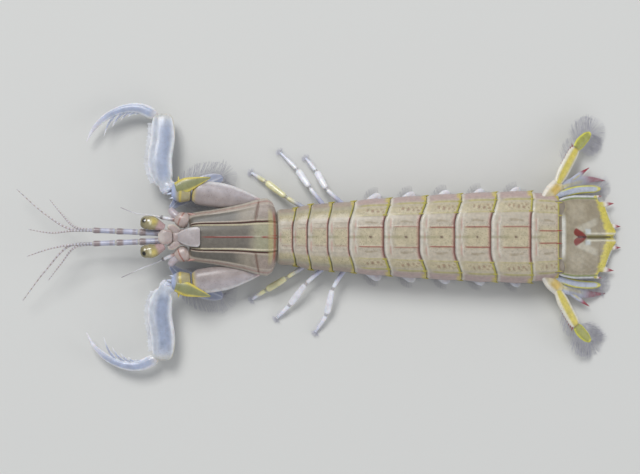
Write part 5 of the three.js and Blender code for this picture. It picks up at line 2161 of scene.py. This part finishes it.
def floor_shape(piece: bpy.types.Object) -> None:
    """Flattens what would reach below the floor.

    Args:
        piece: the object to flatten.
    """
    mesh = piece.data
    flat = np.empty(len(mesh.vertices) * 3)
    mesh.vertices.foreach_get("co", flat)
    points = flat.reshape(-1, 3)
    points[:, 2] = np.maximum(points[:, 2], LOWEST * MM)
    mesh.vertices.foreach_set("co", points.ravel())
    mesh.update()


# Studio


@dataclass
class Studio:
    """Pale floor, soft lamps and the camera that looks straight down, head to the left."""

    lens: float = 85.0
    frame_width: float = 0.186  # metres of floor across the picture
    floor_tint: str = "d8d8d4"
    floor_half: float = 3.0
    floor_drop: float = 0.00005  # keeps the floor just below the feet
    # name, place in metres, watts and side length of each lamp
    lamps: tuple[tuple[str, Point, float, float], ...] = (
        ("key", (-1.1, -0.5, 1.6), 22.5, 0.8),
        ("fill", (1.3, 0.6, 1.1), 2.6, 1.2),
        ("back", (0.2, 1.7, 0.8), 4.2, 0.8),
    )

    def build(self) -> None:
        """Makes the floor, the lamps and the camera."""
        self._floor()
        for name, place, power, size in self.lamps:
            self._lamp(name, place, power, size)
        world = bpy.data.worlds.new("studio_world")
        world.use_nodes = True
        world.node_tree.nodes["Background"].inputs["Color"].default_value = (0.9, 0.93, 1.0, 1)
        world.node_tree.nodes["Background"].inputs["Strength"].default_value = 0.45
        bpy.context.scene.world = world
        self._camera()

    def _floor(self) -> None:
        """A wide, plain and matte floor."""
        mesh = bpy.data.meshes.new("floor")
        corners = [(-1, -1), (1, -1), (1, 1), (-1, 1)]
        half, drop = self.floor_half, self.floor_drop
        mesh.from_pydata([(x * half, y * half, -drop) for x, y in corners], [], [(0, 1, 2, 3)])
        floor = bpy.data.objects.new("floor", mesh)
        bpy.context.scene.collection.objects.link(floor)
        made = bpy.data.materials.new("floor_paper")
        made.use_nodes = True
        shader = made.node_tree.nodes["Principled BSDF"]
        shader.inputs["Base Color"].default_value = (*linear(self.floor_tint), 1)
        shader.inputs["Roughness"].default_value = 1.0
        shader.inputs["Specular IOR Level"].default_value = 0.1
        mesh.materials.append(made)

    def _lamp(self, name: str, place: Point, power: float, size: float) -> None:
        """A soft square lamp aimed at the animal.

        Args:
            name: the lamp's name.
            place: where it stands, in metres.
            power: its watts.
            size: its side length in metres.
        """
        light = bpy.data.lights.new(name, "AREA")
        light.energy = power
        light.size = size
        lamp = bpy.data.objects.new(name, light)
        bpy.context.scene.collection.objects.link(lamp)
        lamp.location = place
        toward = np.array([0, 0, 0.01]) - np.array(place)
        x, y, z = toward / np.linalg.norm(toward)
        lamp.rotation_euler = (math.acos(-z), 0, math.atan2(-x, y))

    def _camera(self) -> None:
        """A long lens above the middle of the animal."""
        low, high = CAD_BOUNDS
        camera = bpy.data.cameras.new("camera")
        camera.lens = self.lens
        camera.sensor_width = 36.0
        holder = bpy.data.objects.new("camera", camera)
        bpy.context.scene.collection.objects.link(holder)
        height = self.frame_width * self.lens / camera.sensor_width + high[2] / 2
        holder.location = ((low[0] + high[0]) / 2, (low[1] + high[1]) / 2, height)
        holder.rotation_euler = (0, 0, math.pi / 2)
        camera.clip_start = 0.01
        bpy.context.scene.camera = holder
        bpy.context.scene.view_settings.view_transform = "Standard"


def main() -> None:
    """Builds the stage and every part of the animal."""
    logging.basicConfig(level=logging.INFO)
    Studio().build()
    trunk = Trunk()
    trunk.build()
    Carapace().build()
    Head().build()
    Feelers().build()
    for side in Side:
        Claw(side).build()
    WalkingLegs().build()
    MouthParts().build()
    SwimmingLegs(trunk).build()
    TailFan(trunk).build()


if __name__ == "__main__":
    main()
